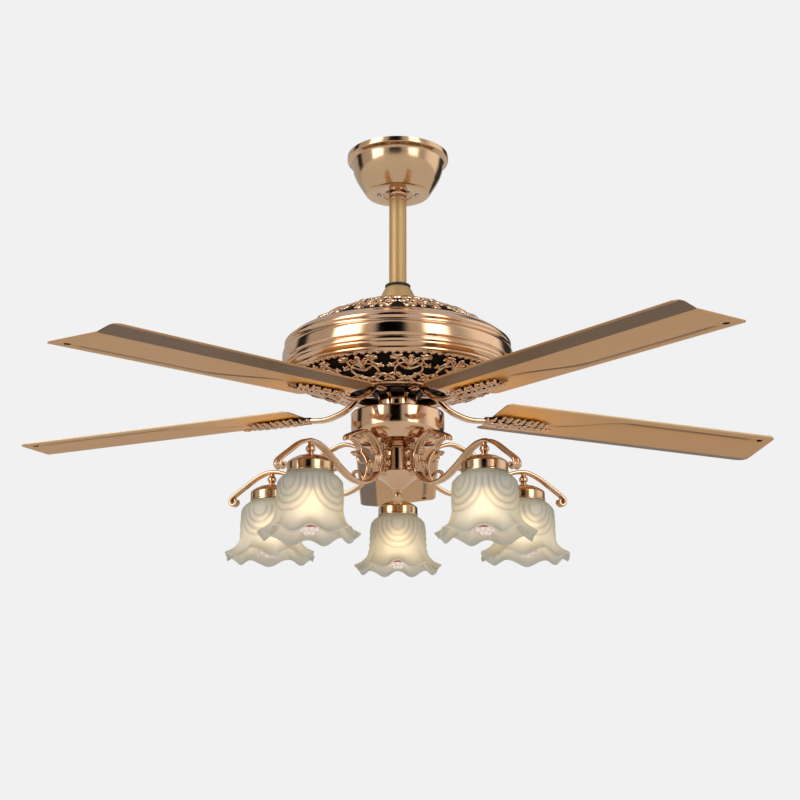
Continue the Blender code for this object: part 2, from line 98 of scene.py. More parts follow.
class FanSizes(bpy.types.PropertyGroup):
    """Sizes that shape the pieces"""

    round_steps: bpy.props.IntProperty(
        name="Round steps", description="Steps of the large turned pieces", default=128, min=24, max=256
    )
    scroll_wire: bpy.props.FloatProperty(
        name="Scroll wire", description="Radius of the scrollwork's strokes",
        default=0.0030, unit="LENGTH", subtype="DISTANCE",
    )
    blade_groove: bpy.props.FloatProperty(
        name="Blade groove", description="Depth of the groove pressed into each blade",
        default=0.0016, unit="LENGTH", subtype="DISTANCE",
    )
    arm_bead: bpy.props.FloatProperty(
        name="Arm bead", description="Radius of the beads along both edges of an arm",
        default=0.0027, unit="LENGTH", subtype="DISTANCE",
    )
    ruffle_rise: bpy.props.FloatProperty(
        name="Ruffle rise", description="How far the glass rims wave up and down",
        default=0.0062, unit="LENGTH", subtype="DISTANCE",
    )
    bulb_glow: bpy.props.FloatProperty(
        name="Bulb glow", description="Brightness of the lit bulbs", default=5.0, min=0, max=50
    )


class FanColours(bpy.types.PropertyGroup):
    """Colours of the finishes"""

    rose_gold: bpy.props.FloatVectorProperty(
        name="Rose gold", description="Polished plating", subtype="COLOR", default=linear("#D8B596")
    )
    satin: bpy.props.FloatVectorProperty(
        name="Satin gold", description="Brushed plating", subtype="COLOR", default=linear("#CFAE8A")
    )
    blade: bpy.props.FloatVectorProperty(
        name="Blade", description="Champagne coat of the blades", subtype="COLOR", default=linear("#C18F52")
    )
    glass: bpy.props.FloatVectorProperty(
        name="Glass", description="Frosted glass of the shades", subtype="COLOR", default=linear("#DDDDD8")
    )
    light: bpy.props.FloatVectorProperty(
        name="Light", description="Colour of the lit bulbs", subtype="COLOR", default=linear("#FFDCA8")
    )


# ---------------------------------------------------------------- finishes


def node(tree, kind, settings, links=()):
    """Adds a node. Lower-case settings are its properties, others are its sockets."""
    made = tree.nodes.new(kind)
    for key, value in settings.items():
        if isinstance(key, str) and key[0].islower():
            setattr(made, key, value)
        else:
            made.inputs[key].default_value = value
    for key, source in links:
        tree.links.new(source, made.inputs[key])
    return made


def new_finish(name, colour, metallic, roughness):
    """A material with its tree and its Principled shader, set to plain values first."""
    made = bpy.data.materials.new(name)
    made.use_nodes = True
    shader = made.node_tree.nodes["Principled BSDF"]
    shader.inputs["Base Color"].default_value = (*colour, 1)
    shader.inputs["Metallic"].default_value = metallic
    shader.inputs["Roughness"].default_value = roughness
    made.diffuse_color = (*colour, 1)
    return made, made.node_tree, shader


def scaled(colour, by):
    """A colour made lighter or darker."""
    return (*[min(1.0, c * by) for c in colour], 1)


def polished_plate(name, colours):
    """Copper-gold electroplate on pressed and cast steel, buffed bright: mirror reflections, with the
    faint clouding and fine wheel marks that buffing leaves."""
    made, tree, shader = new_finish(name, colours.rose_gold, 1, 0.1)
    where = node(tree, "ShaderNodeTexCoord", {}).outputs["Object"]
    # Clouding in patches about 35 mm across.
    cloud = node(tree, "ShaderNodeTexNoise", {"Scale": 28, "Detail": 3}, [("Vector", where)])
    share = node(tree, "ShaderNodeMapRange", {1: 0.35, 2: 0.8, 4: 0.55}, [(0, cloud.outputs[0])])
    tint = node(tree, "ShaderNodeMix",
                {"data_type": "RGBA", 6: (*colours.rose_gold, 1), 7: (*linear("#CB9D75"), 1)},
                [(0, share.outputs[0])])
    tree.links.new(tint.outputs[2], shader.inputs["Base Color"])
    dull = node(tree, "ShaderNodeMapRange", {1: 0.3, 2: 0.7, 3: 0.07, 4: 0.15}, [(0, cloud.outputs[0])])
    tree.links.new(dull.outputs[0], shader.inputs["Roughness"])
    # Wheel marks are near 0.1 mm; they are drawn 1.5 mm apart so that they show.
    marks = node(tree, "ShaderNodeTexNoise", {"Scale": 650, "Detail": 2}, [("Vector", where)])
    bump = node(tree, "ShaderNodeBump", {"Strength": 0.05, "Distance": 0.0001},
                [("Height", marks.outputs[0])])
    tree.links.new(bump.outputs[0], shader.inputs["Normal"])
    return made


def satin_plate(name, colours):
    """Champagne-gold plate, brushed round the turned shell and lacquered: broad soft highlights, drawn out
    across the fine lines of the brushing."""
    made, tree, shader = new_finish(name, colours.satin, 1, 0.15)
    where = node(tree, "ShaderNodeTexCoord", {}).outputs["Object"]
    # Brush lines are about 0.2 mm apart; they are drawn about 1 mm apart so that they show.
    spread = node(tree, "ShaderNodeMapping", {"vector_type": "TEXTURE", "Scale": (0.12, 0.12, 0.0011)},
                  [("Vector", where)])
    lines = node(tree, "ShaderNodeTexNoise", {"Scale": 1, "Detail": 4}, [("Vector", spread.outputs[0])])
    tint = node(tree, "ShaderNodeMix",
                {"data_type": "RGBA", 6: scaled(colours.satin, 0.88), 7: scaled(colours.satin, 1.08)},
                [(0, lines.outputs[0])])
    tree.links.new(tint.outputs[2], shader.inputs["Base Color"])
    dull = node(tree, "ShaderNodeMapRange", {1: 0.3, 2: 0.7, 3: 0.11, 4: 0.19}, [(0, lines.outputs[0])])
    tree.links.new(dull.outputs[0], shader.inputs["Roughness"])
    bump = node(tree, "ShaderNodeBump", {"Strength": 0.12, "Distance": 0.0002},
                [("Height", lines.outputs[0])])
    tree.links.new(bump.outputs[0], shader.inputs["Normal"])
    shader.inputs["Coat Weight"].default_value = 0.25
    shader.inputs["Coat Roughness"].default_value = 0.12
    return made


def rod_lacquer(name, colours):
    """Champagne metallic lacquer baked on the steel tube: a soft, nearly matt sheen with fine lines
    along the rod."""
    made, tree, shader = new_finish(name, linear("#BA9B6C"), 0.6, 0.5)
    where = node(tree, "ShaderNodeTexCoord", {}).outputs["Object"]
    # Flow lines about 0.5 mm apart; they are drawn 3 mm apart so that they show.
    spread = node(tree, "ShaderNodeMapping", {"vector_type": "TEXTURE", "Scale": (0.004, 0.004, 0.15)},
                  [("Vector", where)])
    lines = node(tree, "ShaderNodeTexNoise", {"Scale": 1, "Detail": 3}, [("Vector", spread.outputs[0])])
    tint = node(tree, "ShaderNodeMix",
                {"data_type": "RGBA", 6: (*linear("#AF8E5F"), 1), 7: (*linear("#C2A375"), 1)},
                [(0, lines.outputs[0])])
    tree.links.new(tint.outputs[2], shader.inputs["Base Color"])
    dull = node(tree, "ShaderNodeMapRange", {1: 0.3, 2: 0.7, 3: 0.42, 4: 0.56}, [(0, lines.outputs[0])])
    tree.links.new(dull.outputs[0], shader.inputs["Roughness"])
    return made


def blade_coat(name, colours):
    """Champagne metallic paint over brushed sheet steel: a soft even sheen with faint streaks along the
    blade, with painted shade in the pressed groove and on the fold, and a painted highlight on the edge
    lip."""
    made, tree, shader = new_finish(name, colours.blade, 0.4, 0.42)
    where = node(tree, "ShaderNodeUVMap", {"uv_map": "sheet"}).outputs[0]
    # Streaks are about 0.3 mm wide; they are drawn 2 mm wide and 120 mm long so that they show.
    spread = node(tree, "ShaderNodeMapping", {"vector_type": "TEXTURE", "Scale": (0.12, 0.002, 1)},
                  [("Vector", where)])
    lines = node(tree, "ShaderNodeTexNoise", {"Scale": 1, "Detail": 4}, [("Vector", spread.outputs[0])])
    streaks = node(tree, "ShaderNodeMix",
                   {"data_type": "RGBA", 6: scaled(colours.blade, 0.93), 7: scaled(colours.blade, 1.06)},
                   [(0, lines.outputs[0])])
    # The blade's attribute darkens the groove and the fold with painted shade and lightens the edge lip
    # with a painted highlight.
    painted_shading = node(tree, "ShaderNodeAttribute", {"attribute_name": "painted_shading"}).outputs["Fac"]
    painted_shade_share = node(tree, "ShaderNodeMapRange", {1: 0.0, 2: -1.0, 3: 0.0, 4: 1.0}, [(0, painted_shading)])
    painted_highlight_share = node(tree, "ShaderNodeMapRange", {1: 0.0, 2: 1.0, 3: 0.0, 4: 1.0}, [(0, painted_shading)])
    # Painted shade colour for the groove and the fold.
    painted_shade_mix = node(tree, "ShaderNodeMix", {"data_type": "RGBA", 7: (*linear("#5E4226"), 1)},
                [(0, painted_shade_share.outputs[0]), (6, streaks.outputs[2])])
    # Painted highlight colour for the edge lip.
    painted_highlight_mix = node(tree, "ShaderNodeMix", {"data_type": "RGBA", 7: (*linear("#D8C3A2"), 1)},
                [(0, painted_highlight_share.outputs[0]), (6, painted_shade_mix.outputs[2])])
    tree.links.new(painted_highlight_mix.outputs[2], shader.inputs["Base Color"])
    dull = node(tree, "ShaderNodeMapRange", {1: 0.3, 2: 0.7, 3: 0.36, 4: 0.50}, [(0, lines.outputs[0])])
    tree.links.new(dull.outputs[0], shader.inputs["Roughness"])
    bump = node(tree, "ShaderNodeBump", {"Strength": 0.06, "Distance": 0.0002},
                [("Height", lines.outputs[0])])
    tree.links.new(bump.outputs[0], shader.inputs["Normal"])
    return made


def painted_shade_sheet(name, colours):
    """Black sheet put behind the openwork as painted shade for the dark inside: it swallows light, with a
    faint brown bloom of dust.
    """
    made, tree, shader = new_finish(name, linear("#070504"), 0, 0.85)
    where = node(tree, "ShaderNodeTexCoord", {}).outputs["Object"]
    # Dust in patches about 12 mm across.
    dust = node(tree, "ShaderNodeTexNoise", {"Scale": 80, "Detail": 3}, [("Vector", where)])
    tint = node(tree, "ShaderNodeMix",
                {"data_type": "RGBA", 6: (*linear("#050302"), 1), 7: (*linear("#120C08"), 1)},
                [(0, dust.outputs[0])])
    tree.links.new(tint.outputs[2], shader.inputs["Base Color"])
    shader.inputs["Specular IOR Level"].default_value = 0.12
    return made


def zinc_plate(name, colours):
    """Zinc-plated pressed steel: cool grey with the faint spangle of the plating."""
    made, tree, shader = new_finish(name, linear("#B9BABC"), 1, 0.35)
    where = node(tree, "ShaderNodeTexCoord", {}).outputs["Object"]
    # Spangle about 3 mm across.
    grain = node(tree, "ShaderNodeTexVoronoi", {"Scale": 330}, [("Vector", where)])
    tint = node(tree, "ShaderNodeMix",
                {"data_type": "RGBA", 6: (*linear("#A4A6A9"), 1), 7: (*linear("#CDCDCE"), 1)},
                [(0, grain.outputs["Color"])])
    tree.links.new(tint.outputs[2], shader.inputs["Base Color"])
    dull = node(tree, "ShaderNodeMapRange", {3: 0.25, 4: 0.45}, [(0, grain.outputs["Color"])])
    tree.links.new(dull.outputs[0], shader.inputs["Roughness"])
    return made


def core_laminate(name, colours):
    """Stacked electrical-steel laminations: dark grey with fine level seams between the sheets."""
    made, tree, shader = new_finish(name, linear("#55565A"), 1, 0.5)
    where = node(tree, "ShaderNodeTexCoord", {}).outputs["Object"]
    # Sheets are 0.5 mm thick; the seams are drawn every 2 mm.
    seams = node(tree, "ShaderNodeTexWave", {"bands_direction": "Z", "Scale": 80, "Distortion": 0.4},
                 [("Vector", where)])
    tint = node(tree, "ShaderNodeMix",
                {"data_type": "RGBA", 6: (*linear("#3D3E42"), 1), 7: (*linear("#77787C"), 1)},
                [(0, seams.outputs["Fac"])])
    tree.links.new(tint.outputs[2], shader.inputs["Base Color"])
    bump = node(tree, "ShaderNodeBump", {"Strength": 0.3, "Distance": 0.0003},
                [("Height", seams.outputs["Fac"])])
    tree.links.new(bump.outputs[0], shader.inputs["Normal"])
    return made


def black_rubber(name, colours):
    """Moulded black rubber: matt, with a fine moulded grain and a grey bloom."""
    made, tree, shader = new_finish(name, linear("#161616"), 0, 0.62)
    where = node(tree, "ShaderNodeTexCoord", {}).outputs["Object"]
    # Grain about 1 mm across.
    grain = node(tree, "ShaderNodeTexNoise", {"Scale": 900, "Detail": 3}, [("Vector", where)])
    tint = node(tree, "ShaderNodeMix",
                {"data_type": "RGBA", 6: (*linear("#0E0E0E"), 1), 7: (*linear("#2B2A29"), 1)},
                [(0, grain.outputs[0])])
    tree.links.new(tint.outputs[2], shader.inputs["Base Color"])
    bump = node(tree, "ShaderNodeBump", {"Strength": 0.2, "Distance": 0.0002},
                [("Height", grain.outputs[0])])
    tree.links.new(bump.outputs[0], shader.inputs["Normal"])
    return made


def moulded_white(name, colours):
    """Moulded white nylon and glazed porcelain: off-white, a little warm, with a soft satin gloss."""
    made, tree, shader = new_finish(name, linear("#E9E6DD"), 0, 0.3)
    where = node(tree, "ShaderNodeTexCoord", {}).outputs["Object"]
    # Uneven glaze in patches about 12 mm across.
    cloud = node(tree, "ShaderNodeTexNoise", {"Scale": 85, "Detail": 2}, [("Vector", where)])
    tint = node(tree, "ShaderNodeMix",
                {"data_type": "RGBA", 6: (*linear("#DEDACE"), 1), 7: (*linear("#F2F0EA"), 1)},
                [(0, cloud.outputs[0])])
    tree.links.new(tint.outputs[2], shader.inputs["Base Color"])
    dull = node(tree, "ShaderNodeMapRange", {3: 0.22, 4: 0.4}, [(0, cloud.outputs[0])])
    tree.links.new(dull.outputs[0], shader.inputs["Roughness"])
    return made


def frosted_glass(name, colours):
    """Pressed glass with an acid-frosted skin: it blurs the lit bulb into a warm patch, carries a painted
    glow at the bulb's height, goes grey-green where it is seen edge on, and has the fine tooth of the
    frosting."""
    made, tree, shader = new_finish(name, colours.glass, 0, 0.5)
    where = node(tree, "ShaderNodeTexCoord", {}).outputs["Object"]
    edge = node(tree, "ShaderNodeLayerWeight", {"Blend": 0.35})
    tint = node(tree, "ShaderNodeMix",
                {"data_type": "RGBA", 6: (*colours.glass, 1), 7: (*linear("#A5AC9D"), 1)},
                [(0, edge.outputs["Facing"])])
    # Pressed lines are thicker glass, so less light comes through them.
    pressed = node(tree, "ShaderNodeAttribute", {"attribute_name": "pressed"}).outputs["Fac"]
    veil = node(tree, "ShaderNodeMath", {"operation": "MULTIPLY", 1: 0.75}, [(0, pressed)])
    lined = node(tree, "ShaderNodeMix", {"data_type": "RGBA", 7: (*linear("#A79F8C"), 1)},
                 [(0, veil.outputs[0]), (6, tint.outputs[2])])
    tree.links.new(lined.outputs[2], shader.inputs["Base Color"])
    # The frosting's tooth is about 0.1 mm; it is drawn 1 mm across so that it shows.
    tooth = node(tree, "ShaderNodeTexNoise", {"Scale": 1000, "Detail": 2}, [("Vector", where)])
    bump = node(tree, "ShaderNodeBump", {"Strength": 0.08, "Distance": 0.0002},
                [("Height", tooth.outputs[0])])
    tree.links.new(bump.outputs[0], shader.inputs["Normal"])
    # The glass gets a painted glow, strongest at the lit bulb's own height, for the bulb's light through
    # it.
    height = node(tree, "ShaderNodeSeparateXYZ", {}, [(0, where)]).outputs["Z"]
    low = node(tree, "ShaderNodeMapRange",
               {"interpolation_type": "SMOOTHSTEP", 1: -0.585, 2: -0.632, 3: 0, 4: 1}, [(0, height)])
    high = node(tree, "ShaderNodeMapRange",
                {"interpolation_type": "SMOOTHSTEP", 1: -0.668, 2: -0.640, 3: 0.15, 4: 1},
                [(0, height)])
    near = node(tree, "ShaderNodeMath", {"operation": "MULTIPLY"},
                [(0, low.outputs[0]), (1, high.outputs[0])])
    # The pressed lines get less of the painted glow.
    clear = node(tree, "ShaderNodeMapRange", {3: 0.15, 4: 0.06}, [(0, pressed)])
    glow = node(tree, "ShaderNodeMath", {"operation": "MULTIPLY"},
                [(0, near.outputs[0]), (1, clear.outputs[0])])
    tree.links.new(glow.outputs[0], shader.inputs["Emission Strength"])
    shader.inputs["Emission Color"].default_value = (*colours.light, 1)
    shader.inputs["Transmission Weight"].default_value = 0.42
    shader.inputs["IOR"].default_value = 1.45
    return made


def lit_bulb(name, colours):
    """A lit bulb's opal glass envelope: bright and warm all over, dimmer where its buds turn away from
    the eye, as the thicker glass there passes less light."""
    made, tree, shader = new_finish(name, linear("#FFF6E4"), 0, 0.25)
    where = node(tree, "ShaderNodeTexCoord", {}).outputs["Object"]
    height = node(tree, "ShaderNodeSeparateXYZ", {}, [(0, where)]).outputs["Z"]
    tip = node(tree, "ShaderNodeMapRange", {1: -0.636, 2: -0.642}, [(0, height)])
    tint = node(tree, "ShaderNodeMix",
                {"data_type": "RGBA", 6: (*colours.light, 1), 7: (*linear("#FFEFE2"), 1)},
                [(0, tip.outputs[0])])
    tree.links.new(tint.outputs[2], shader.inputs["Emission Color"])
    body = node(tree, "ShaderNodeMix",
                {"data_type": "RGBA", 6: (*linear("#FFF6E4"), 1), 7: (*linear("#8F817A"), 1)},
                [(0, tip.outputs[0])])
    tree.links.new(body.outputs[2], shader.inputs["Base Color"])
    edge = node(tree, "ShaderNodeLayerWeight", {"Blend": 0.3})
    bud = node(tree, "ShaderNodeMapRange", {1: 0.15, 2: 0.8, 3: 0.62, 4: 0.05},
               [(0, edge.outputs["Facing"])])
    power = node(tree, "ShaderNodeMix", {"data_type": "FLOAT", 2: bpy.context.scene.fan_sizes.bulb_glow},
                 [(0, tip.outputs[0]), (3, bud.outputs[0])])
    tree.links.new(power.outputs[0], shader.inputs["Emission Strength"])
    return made


def red_enamel(name, colours):
    """Red enamel on the small beads round a bulb's tip: glossy, deeper in its hollows."""
    made, tree, shader = new_finish(name, linear("#B03A32"), 0, 0.2)
    where = node(tree, "ShaderNodeTexCoord", {}).outputs["Object"]
    # Pooling about 2 mm across.
    pool = node(tree, "ShaderNodeTexNoise", {"Scale": 500}, [("Vector", where)])
    tint = node(tree, "ShaderNodeMix",
                {"data_type": "RGBA", 6: (*linear("#9C2E28"), 1), 7: (*linear("#CF5A4C"), 1)},
                [(0, pool.outputs[0])])
    tree.links.new(tint.outputs[2], shader.inputs["Base Color"])
    return made


def floor_paint(name, colours):
    """Pale matt floor paint, with faint roller texture."""
    made, tree, shader = new_finish(name, linear("#EDEDEC"), 0, 0.8)
    where = node(tree, "ShaderNodeTexCoord", {}).outputs["Object"]
    # Roller texture about 15 mm across.
    nap = node(tree, "ShaderNodeTexNoise", {"Scale": 66, "Detail": 2}, [("Vector", where)])
    tint = node(tree, "ShaderNodeMix",
                {"data_type": "RGBA", 6: (*linear("#EAEAE9"), 1), 7: (*linear("#F1F1F0"), 1)},
                [(0, nap.outputs[0])])
    tree.links.new(tint.outputs[2], shader.inputs["Base Color"])
    return made


FINISHES = {
    "buffed_rose_gold_plate": polished_plate,
    "brushed_satin_gold_plate": satin_plate,
    "baked_champagne_lacquer": rod_lacquer,
    "champagne_blade_coat": blade_coat,
    "black_painted_shade": painted_shade_sheet,
    "zinc_plated_steel": zinc_plate,
    "laminated_core_steel": core_laminate,
    "moulded_black_rubber": black_rubber,
    "moulded_white_nylon": moulded_white,
    "acid_frosted_glass": frosted_glass,
    "lit_opal_bulb": lit_bulb,
    "red_enamel_beads": red_enamel,
    "pale_floor_paint": floor_paint,
}


def finish(name):
    """The material of that name, made the first time it is asked for."""
    return bpy.data.materials.get(name) or FINISHES[name](name, bpy.context.scene.fan_colours)


# ---------------------------------------------------------------- shaping


def piece(name, edit, finishes, body, replaces=(), sharp=40):
    """Turns a bmesh into a finished piece that rides on a body and stands for CAD nodes."""
    mesh = bpy.data.meshes.new(name)
    edit.to_mesh(mesh)
    edit.free()
    for each in finishes:
        mesh.materials.append(finish(each))
    mesh.shade_smooth()
    mesh.set_sharp_from_angle(angle=math.radians(sharp))
    made = bpy.data.objects.new(name, mesh)
    bpy.context.scene.collection.objects.link(made)
    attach(made, body)
    if replaces:
        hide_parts(*replaces)
    return made


def closed(edit):
    """Merges doubles and turns every face outwards."""
    bmesh.ops.remove_doubles(edit, verts=edit.verts, dist=0.000001)
    bmesh.ops.recalc_face_normals(edit, faces=edit.faces)
    return edit


def turned(profile, ring=True, steps=None):
    """Spins (radius, height, rounding) points about Z. A ring's profile closes on itself."""
    edit = bmesh.new()
    points = [edit.verts.new((point[0], 0, point[1])) for point in profile]
    pairs = list(zip(points, points[1:]))
    if ring:
        pairs.append((points[-1], points[0]))
    for pair in pairs:
        edit.edges.new(pair)
    for vert, point in zip(points, profile):
        if len(point) > 2:
            bmesh.ops.bevel(edit, geom=[vert], offset=point[2], segments=4, profile=0.5,
                            affect="VERTICES", material=-1)
    bmesh.ops.spin(edit, geom=[*edit.verts, *edit.edges], cent=(0, 0, 0), axis=(0, 0, 1),
                   angle=math.tau, steps=steps or bpy.context.scene.fan_sizes.round_steps, use_merge=True)
    return closed(edit)


def joined(*edits):
    """Puts several bmeshes together in the first one."""
    whole = edits[0]
    for other in edits[1:]:
        mesh = bpy.data.meshes.new("joining")
        other.to_mesh(mesh)
        other.free()
        whole.from_mesh(mesh)
        bpy.data.meshes.remove(mesh)
    return whole


def verts_of(geom):
    """The vertices among the geometry that an operator takes or gives."""
    return [each for each in geom if isinstance(each, bmesh.types.BMVert)]


def copies(edit, turns):
    """Repeats a bmesh at each of the turns about Z."""
    source = [*edit.verts, *edit.edges, *edit.faces]
    made = [bmesh.ops.duplicate(edit, geom=source)["geom"] for _ in turns]
    for turn, geom in zip(turns, made):
        matrix = Matrix.Rotation(turn, 3, "Z")
        bmesh.ops.rotate(edit, cent=(0, 0, 0), matrix=matrix, verts=verts_of(geom))
    bmesh.ops.delete(edit, geom=verts_of(source), context="VERTS")
    return edit


def baked(obj):
    """A bmesh of a curve's evaluated shape in place; the curve is removed."""
    bpy.context.view_layer.update()
    mesh = bpy.data.meshes.new_from_object(obj.evaluated_get(bpy.context.evaluated_depsgraph_get()))
    mesh.transform(obj.matrix_world)
    edit = bmesh.new()
    edit.from_mesh(mesh)
    data = obj.data
    bpy.data.objects.remove(obj, do_unlink=True)
    bpy.data.curves.remove(data)
    bpy.data.meshes.remove(mesh)
    return closed(edit)


def wires(strokes, sides=1):
    """Round strokes with the thickness given at each (point, radius)."""
    curve = bpy.data.curves.new("strokes", "CURVE")
    curve.dimensions = "3D"
    curve.bevel_depth = 1
    curve.bevel_resolution = sides
    curve.use_fill_caps = True
    for stroke in strokes:
        spline = curve.splines.new("POLY")
        spline.points.add(len(stroke) - 1)
        for point, (place, radius) in zip(spline.points, stroke):
            point.co = (*place, 1)
            point.radius = radius
    obj = bpy.data.objects.new("strokes", curve)
    bpy.context.scene.collection.objects.link(obj)
    return baked(obj)


def smooth_route(points, steps):
    """Points on a Catmull-Rom curve through the given points."""
    knots = [Vector(p) for p in points]
    knots = [2 * knots[0] - knots[1], *knots, 2 * knots[-1] - knots[-2]]
    route = []
    for a, b, c, d in zip(knots, knots[1:], knots[2:], knots[3:]):
        for step in range(steps):
            t = step / steps
            square, cube = 2 * a - 5 * b + 4 * c - d, 3 * b - a - 3 * c + d
            route.append((2 * b + (c - a) * t + square * t**2 + cube * t**3) / 2)
    route.append(knots[-2])
    return route


def flat_bar(route, width, thick):
    """A flat bar with rounded edges, bent in the upright plane of (radius, height) points."""
    curve = bpy.data.curves.new("bar", "CURVE")
    curve.dimensions = "3D"
    curve.twist_mode = "Z_UP"
    curve.bevel_depth = thick / 2
    curve.bevel_resolution = 2
    curve.extrude = (width - thick) / 2
    curve.use_fill_caps = True
    spline = curve.splines.new("POLY")
    spline.points.add(len(route) - 1)
    for point, place in zip(spline.points, route):
        point.co = (place[0], place[1], 0, 1)
    obj = bpy.data.objects.new("bar", curve)
    bpy.context.scene.collection.objects.link(obj)
    obj.rotation_euler = (math.pi / 2, 0, 0)
    return baked(obj)


def scroll(start, heading, length, turn, width, steps=13):
    """A flat tapering stroke that curls up: its turning grows along it, and a knob ends it."""
    point = Vector(start)
    stroke = []
    for step in range(steps + 1):
        t = step / steps
        stroke.append((point.copy(), width * (1 - 0.55 * t)))
        angle = heading + turn * t**1.6
        point = point + Vector((math.cos(angle), math.sin(angle))) * length * (1.45 - 0.9 * t) / steps
    stroke[-1] = (stroke[-1][0], width * 1.05)
    stroke.append((stroke[-1][0] + (stroke[-1][0] - stroke[-2][0]) * 0.8, width * 0.3))
    return stroke


def lobe(start, heading, length, turn, width):
    """A flat leaf lobe: thin at its root, full in the middle and pointed."""
    point = Vector(start)
    stroke = []
    steps = 6
    for step in range(steps + 1):
        t = step / steps
        swell = 0.75 * math.sin(math.pi * min(1, t * 1.08)) ** 0.8 * (1 - 0.4 * t)
        stroke.append((point.copy(), width * (0.35 + swell)))
        angle = heading + turn * t
        point = point + Vector((math.cos(angle), math.sin(angle))) * length / steps
    stroke[-1] = (stroke[-1][0], width * 0.12)
    return stroke


def both_sides(strokes):
    """The strokes and their mirror images across the pattern's centre line."""
    return strokes + [[(Vector((-p.x, p.y)), r) for p, r in stroke] for stroke in strokes]


def value_at(knots, at):
    """The value at a place on the line through (place, value) knots, or at its nearer end."""
    for (near, low), (far, high) in zip(knots, knots[1:]):
        if min(near, far) <= at <= max(near, far):
            return low + (high - low) * (at - near) / (far - near)
    return knots[0][1] if abs(at - knots[0][0]) < abs(at - knots[-1][0]) else knots[-1][1]


def clamped(value):
    """A value held between 0 and 1."""
    return max(0.0, min(1.0, value))


def on_ring(strokes, profile, inner, turn, lift):
    """Lays flat strokes on a turned surface: X runs round it and Y outwards from the inner radius."""
    laid = []
    for stroke in strokes:
        route = []
        for point, radius in stroke:
            reach = inner + point.y
            angle = turn + point.x / reach
            height = value_at(profile, reach) + lift
            route.append((Vector((reach * math.cos(angle), reach * math.sin(angle), height)), radius))
        laid.append(route)
    return laid


def screw_head(place, direction, radius):
    """A domed screw head that faces along a direction."""
    edit = turned([
        (0, 0), (radius, 0, radius * 0.2), (radius * 0.75, radius * 0.5, radius * 0.3),
        (0, radius * 0.62),
    ], False, 20)
    aim = Vector(direction).to_track_quat("Z", "Y").to_matrix().to_4x4()
    edit.transform(Matrix.Translation(place) @ aim)
    return edit


def at_stations(name, edit, finishes, replaces, out=0.0):
    """Places a copy of an arm's or a lamp's piece at each of the five stations."""
    source = bpy.data.meshes.new(name)
    edit.to_mesh(source)
    edit.free()
    for number, turn in enumerate(LAMP_TURNS, 1):
        each = bmesh.new()
        each.from_mesh(source)
        each.transform(Matrix.Rotation(turn, 4, "Z") @ Matrix.Translation((out, 0, 0)))
        old = [f"{one}_{number}" for one in replaces]
        piece(f"{name}_{number}", each, finishes, HANGING, old, 60)
    bpy.data.meshes.remove(source)


# ---------------------------------------------------------------- the stage


# The camera's place, its upward tilt in degrees and its lens in millimetres.
EYE = (0.0036, -2.087, -0.947)
EYE_TILT = 14.19
LENS = 60.6
FLOOR_HEIGHT = -2.6
# The warm light that the lit bulbs throw up past the holders: how far out and how high it stands, its
# power in watts and the radius of its source.
GLOW_REACH, GLOW_HEIGHT = 0.205, -0.500
GLOW_POWER, GLOW_RADIUS = 0.24, 0.02


